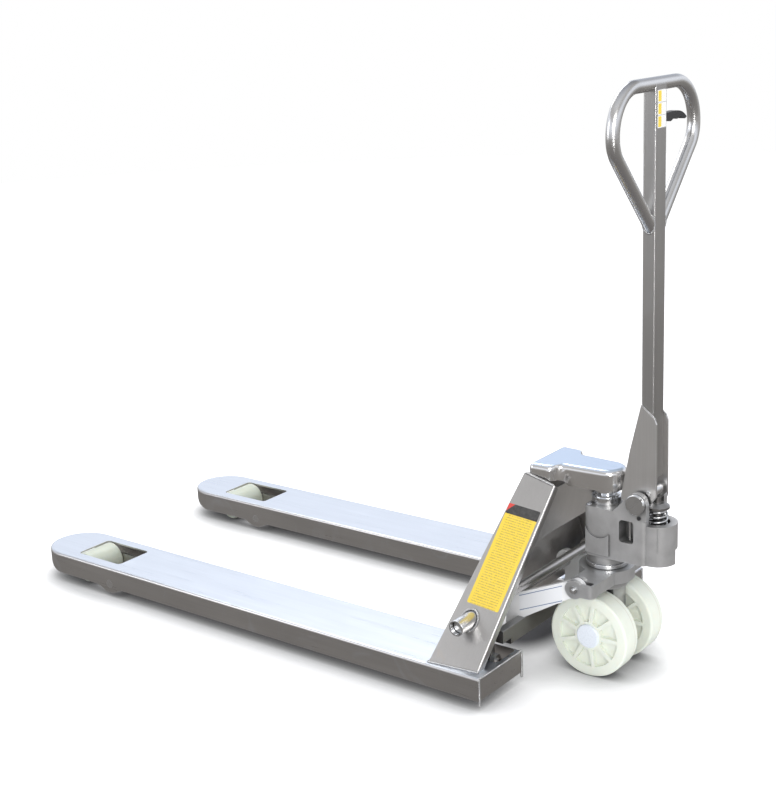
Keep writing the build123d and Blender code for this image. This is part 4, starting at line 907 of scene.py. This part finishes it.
def handleWeldPaths():
    paths = []
    for side in (-1, 1):
        (x0, z0), (x1, z1) = weldLook["plateTop"]
        y = side * weldLook["plateY"]
        paths.append(between((x0, y, z0), (x1, y, z1)))
        ring = []
        for i in range(37):
            turn = i / 36 * math.tau
            ring.append((tubeX + weldLook["loopReach"] * math.cos(turn), side * weldLook["loopY"],
                         weldLook["footZ"] + weldLook["footRise"] * math.sin(turn)))
        paths.append(ring)
    return paths


growTree("chassisWelds", pathMesh("chassisWelds", chassisWeldPaths()), weldTree,
         {"Bead Radius": weldLook["footRadius"], "Bead Step": weldLook["footStep"], "Seed": 4,
          "Finish": finishes["weldSteel"]}, "chassis")
growTree("bonnetWelds", pathMesh("bonnetWelds", bonnetWeldPaths()), weldTree,
         {"Bead Radius": weldLook["capRadius"], "Bead Step": weldLook["capStep"], "Seed": 7,
          "Finish": finishes["weldSteel"]}, "chassis")
growTree("handleWelds", pathMesh("handleWelds", handleWeldPaths()), weldTree,
         {"Bead Radius": weldLook["handleRadius"], "Bead Step": weldLook["handleStep"], "Seed": 9,
          "Finish": finishes["weldSteel"]}, "handle")
print("welds grown")


# ---- labels ----
def labelFinish(name, look):
    # bands across the label from its own UV: a dark header with a red corner over ruled yellow
    material, tree, surface = newFinish(name)
    coord = tree.nodes.new("ShaderNodeTexCoord").outputs["UV"]
    split = tree.nodes.new("ShaderNodeSeparateXYZ")
    tree.links.new(coord, split.inputs[0])
    across, upward = split.outputs["X"], split.outputs["Y"]
    rows = addMath(tree, "SINE", times(tree, upward, look["rows"] * math.tau))
    margins = times(tree, addMath(tree, "GREATER_THAN", across, 0.10), addMath(tree, "LESS_THAN", across, 0.90))
    rule = times(tree, addMath(tree, "GREATER_THAN", rows, look["rowGap"]), margins)
    dashes = addNoise(tree, stretch(tree, coord, (34.0, 21.0, 1.0)), 1.0, 2.0)
    rule = times(tree, rule, times(tree, minus(tree, dashes, 0.34), 4.0, clamp=True))
    place = tree.nodes.new("ShaderNodeTexCoord").outputs["Object"]
    scuff = addNoise(tree, place, 160.0, 4.0)
    field = blendColour(tree, times(tree, rule, look["rowTone"]), look["field"], look["rule"])
    header = addMath(tree, "GREATER_THAN", upward, look["headerFrom"])
    body = blendColour(tree, header, field, look["header"])
    climb = minus(tree, minus(tree, upward, look["headerFrom"]), times(tree, across, look["cornerSlope"]))
    corner = addMath(tree, "GREATER_THAN", climb, look["cornerFrom"])
    corner = times(tree, corner, header)
    red = blendColour(tree, corner, body, look["corner"])
    aged = blendColour(tree, times(tree, scuff, 0.12), red, (0.75, 0.73, 0.68))
    tree.links.new(aged, surface.inputs["Base Color"])
    tree.links.new(addMath(tree, "MULTIPLY_ADD", scuff, 0.2, 0.28), surface.inputs["Roughness"])
    addBump(tree, surface, scuff, 0.08, 0.0002)
    return material


def flatLabel(name, corners, normal, thick, corner, finish, body):
    # thin rounded card on a face; corners run round from low-left, UV 0-1 across it
    a, b, c, d = [Vector(p) for p in corners]
    width, height = (b - a).length, (d - a).length
    outline = []
    for cx, cy, first in ((corner, corner, 180), (width - corner, corner, 270),
                          (width - corner, height - corner, 0), (corner, height - corner, 90)):
        for i in range(6):
            turn = math.radians(first + i * 18)
            outline.append(((cx + corner * math.cos(turn)) / width, (cy + corner * math.sin(turn)) / height))
    shape = bmesh.new()
    layer = shape.loops.layers.uv.new("labelUV")

    def spot(u, v, lift):
        return a.lerp(b, u).lerp(d.lerp(c, u), v) + Vector(normal) * lift
    top = [shape.verts.new(spot(u, v, thick)) for u, v in outline]
    under = [shape.verts.new(spot(u, v, -0.0001)) for u, v in outline]
    faces = [(shape.faces.new(top), outline), (shape.faces.new(under[::-1]), outline[::-1])]
    for i in range(len(outline)):
        j = (i + 1) % len(outline)
        faces.append((shape.faces.new((under[i], under[j], top[j], top[i])),
                      [outline[i], outline[j], outline[j], outline[i]]))
    for face, places in faces:
        for loop, place in zip(face.loops, places):
            loop[layer].uv = place
    bmesh.ops.recalc_face_normals(shape, faces=shape.faces)
    mesh = bpy.data.meshes.new(name)
    shape.to_mesh(mesh)
    shape.free()
    mesh.materials.append(finish)
    piece = bpy.data.objects.new(name, mesh)
    scene.collection.objects.link(piece)
    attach(piece, body)
    return piece


sideLabelLook = {
    "lowZ": 0.178, "highZ": 0.357, "lowGap": 0.0105, "highGap": 0.0075, "width": 0.0745, "tilt": 0.0075,
    "field": (0.80, 0.57, 0.03), "rule": (0.20, 0.16, 0.05), "rows": 42.0, "rowGap": 0.30, "rowTone": 0.62,
    "header": (0.010, 0.010, 0.012), "headerFrom": 0.900, "corner": (0.62, 0.03, 0.02), "cornerFrom": 0.02,
    "cornerSlope": 0.42,
}
finishes["sideLabel"] = labelFinish("sideLabel", sideLabelLook)


def sideLabelCorners(side, look):
    lowX = plateRearX(look["lowZ"]) - look["lowGap"]
    highX = plateRearX(look["highZ"]) - look["highGap"]
    width, tilt = look["width"], look["tilt"]
    return [platePoint(side, lowX - width, look["lowZ"] + tilt), platePoint(side, lowX, look["lowZ"]),
            platePoint(side, highX, look["highZ"]), platePoint(side, highX - width, look["highZ"] + tilt)]


flatLabel("sideLabelNear", sideLabelCorners(-1, sideLabelLook), plateNormal(-1), 0.0003, 0.003,
          finishes["sideLabel"], "chassis")
armLabelLook = {
    "armY": 0.126, "left": (0.508, 0.1295), "right": (0.612, 0.1745), "height": 0.041,
    "field": (0.84, 0.85, 0.87), "line": (0.16, 0.22, 0.36), "lineWidth": 0.022, "lineInset": 0.10,
}


def armLabelFinish(look):
    # white film with one thin rule near its top and one near its foot
    material, tree, surface = newFinish("armLabel")
    coord = tree.nodes.new("ShaderNodeTexCoord").outputs["UV"]
    split = tree.nodes.new("ShaderNodeSeparateXYZ")
    tree.links.new(coord, split.inputs[0])
    fromMiddle = addMath(tree, "ABSOLUTE", minus(tree, split.outputs["Y"], 0.5))
    gap = addMath(tree, "ABSOLUTE", minus(tree, fromMiddle, 0.5 - look["lineInset"]))
    line = addMath(tree, "LESS_THAN", gap, look["lineWidth"])
    scuff = addNoise(tree, tree.nodes.new("ShaderNodeTexCoord").outputs["Object"], 120.0, 4.0)
    field = blendColour(tree, times(tree, scuff, 0.2), look["field"], (0.70, 0.71, 0.72))
    tree.links.new(blendColour(tree, line, field, look["line"]), surface.inputs["Base Color"])
    tree.links.new(addMath(tree, "MULTIPLY_ADD", scuff, 0.2, 0.22), surface.inputs["Roughness"])
    addBump(tree, surface, scuff, 0.06, 0.0002)
    return material


finishes["armLabel"] = armLabelFinish(armLabelLook)
for side, label in ((-1, "armLabelNear"), (1, "armLabelFar")):
    (leftX, leftZ), (rightX, rightZ) = armLabelLook["left"], armLabelLook["right"]
    y, height = side * armLabelLook["armY"], armLabelLook["height"]
    corners = [(leftX, y, leftZ), (rightX, y, rightZ), (rightX, y, rightZ + height), (leftX, y, leftZ + height)]
    flatLabel(label, corners, (0, side, 0), 0.0003, 0.002, finishes["armLabel"], "rocker")

handleLabelLook = {
    "lowZ": 1.130, "highZ": 1.201, "halfY": 0.0168, "field": (0.84, 0.84, 0.82), "square": (0.82, 0.60, 0.04),
    "line": (0.10, 0.10, 0.11), "squares": 3.0,
}


def handleLabelFinish(look):
    # a column of plain yellow squares beside a white column, ruled off from each other
    material, tree, surface = newFinish("handleLabel")
    coord = tree.nodes.new("ShaderNodeTexCoord").outputs["UV"]
    split = tree.nodes.new("ShaderNodeSeparateXYZ")
    tree.links.new(coord, split.inputs[0])
    across, upward = split.outputs["X"], split.outputs["Y"]
    leftHalf = addMath(tree, "LESS_THAN", across, 0.5)
    step = addMath(tree, "FRACT", times(tree, upward, look["squares"]))
    cell = addMath(tree, "ABSOLUTE", minus(tree, step, 0.5))
    inside = addMath(tree, "LESS_THAN", cell, 0.42)
    rule = addMath(tree, "GREATER_THAN", cell, 0.475)
    column = addMath(tree, "LESS_THAN", addMath(tree, "ABSOLUTE", minus(tree, across, 0.26)), 0.19)
    square = times(tree, times(tree, leftHalf, column), inside)
    scuff = addNoise(tree, tree.nodes.new("ShaderNodeTexCoord").outputs["Object"], 160.0, 4.0)
    field = blendColour(tree, square, look["field"], look["square"])
    ruled = blendColour(tree, times(tree, rule, 0.6), field, look["line"])
    aged = blendColour(tree, times(tree, scuff, 0.12), ruled, (0.6, 0.6, 0.58))
    tree.links.new(aged, surface.inputs["Base Color"])
    tree.links.new(addMath(tree, "MULTIPLY_ADD", scuff, 0.2, 0.26), surface.inputs["Roughness"])
    addBump(tree, surface, scuff, 0.06, 0.0002)
    return material


finishes["handleLabel"] = handleLabelFinish(handleLabelLook)
labelY, labelLow, labelHigh = [handleLabelLook[key] for key in ("halfY", "lowZ", "highZ")]
handleCorners = [(tubeHigh.x, y, z) for y, z in (
    (-labelY, labelLow), (labelY, labelLow), (labelY, labelHigh), (-labelY, labelHigh))]
flatLabel("handleLabel", handleCorners, (1, 0, 0), 0.0003, 0.002,
          finishes["handleLabel"], "handle")
print("labels placed")

# ---- plunger spring: stands on its seat, riding with the pump unit ----
springLook = {"travel": 0.0315, "finish": "turnedSteel"}


def makeSpring(look):
    shape = bmesh.new()
    shape.from_mesh(nodes["plunger_spring"].data)
    bmesh.ops.remove_doubles(shape, verts=shape.verts, dist=0.000001)
    bmesh.ops.recalc_face_normals(shape, faces=shape.faces)
    mesh = bpy.data.meshes.new("springCoil")
    shape.to_mesh(mesh)
    shape.free()
    mesh.materials.append(finishes[look["finish"]])
    for face in mesh.polygons:
        face.use_smooth = True
    coil = bpy.data.objects.new("springCoil", mesh)
    scene.collection.objects.link(coil)
    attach(coil, "pump_unit")
    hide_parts("plunger_spring")
    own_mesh(coil)


makeSpring(springLook)
print("spring placed")

# ---- screws ----
screwLook = {
    "radius": 0.0036, "height": 0.0034, "deckX": -0.022, "deckY": -0.034,
    "noseTurn": -38.0, "noseReach": 0.0388, "noseShift": 0.002, "noseZ": 0.4085,
}
noseTurn = math.radians(screwLook["noseTurn"])
noseAim = (math.cos(noseTurn), math.sin(noseTurn), 0)
noseX = steerX + screwLook["noseShift"] + screwLook["noseReach"] * noseAim[0]
noseSpot = (noseX, screwLook["noseReach"] * noseAim[1], screwLook["noseZ"])
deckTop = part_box("ram_cap")[0].z
screwSets = [
    ("bonnetScrew", [(noseSpot, noseAim)], "chassis"),
    ("deckScrews", [((steerX + screwLook["deckX"], side * screwLook["deckY"], deckTop - 0.0001), (0, 0, 1))
                    for side in (-1, 1)], "pump_unit"),
]
for name, spots, body in screwSets:
    growTree(name, pointMesh(name, spots), screwTree,
             {"Head Radius": screwLook["radius"], "Head Height": screwLook["height"], "Sides": 6, "Seed": 5,
              "Finish": finishes["turnedSteel"], "Smooth": False}, body)
print("screws placed")
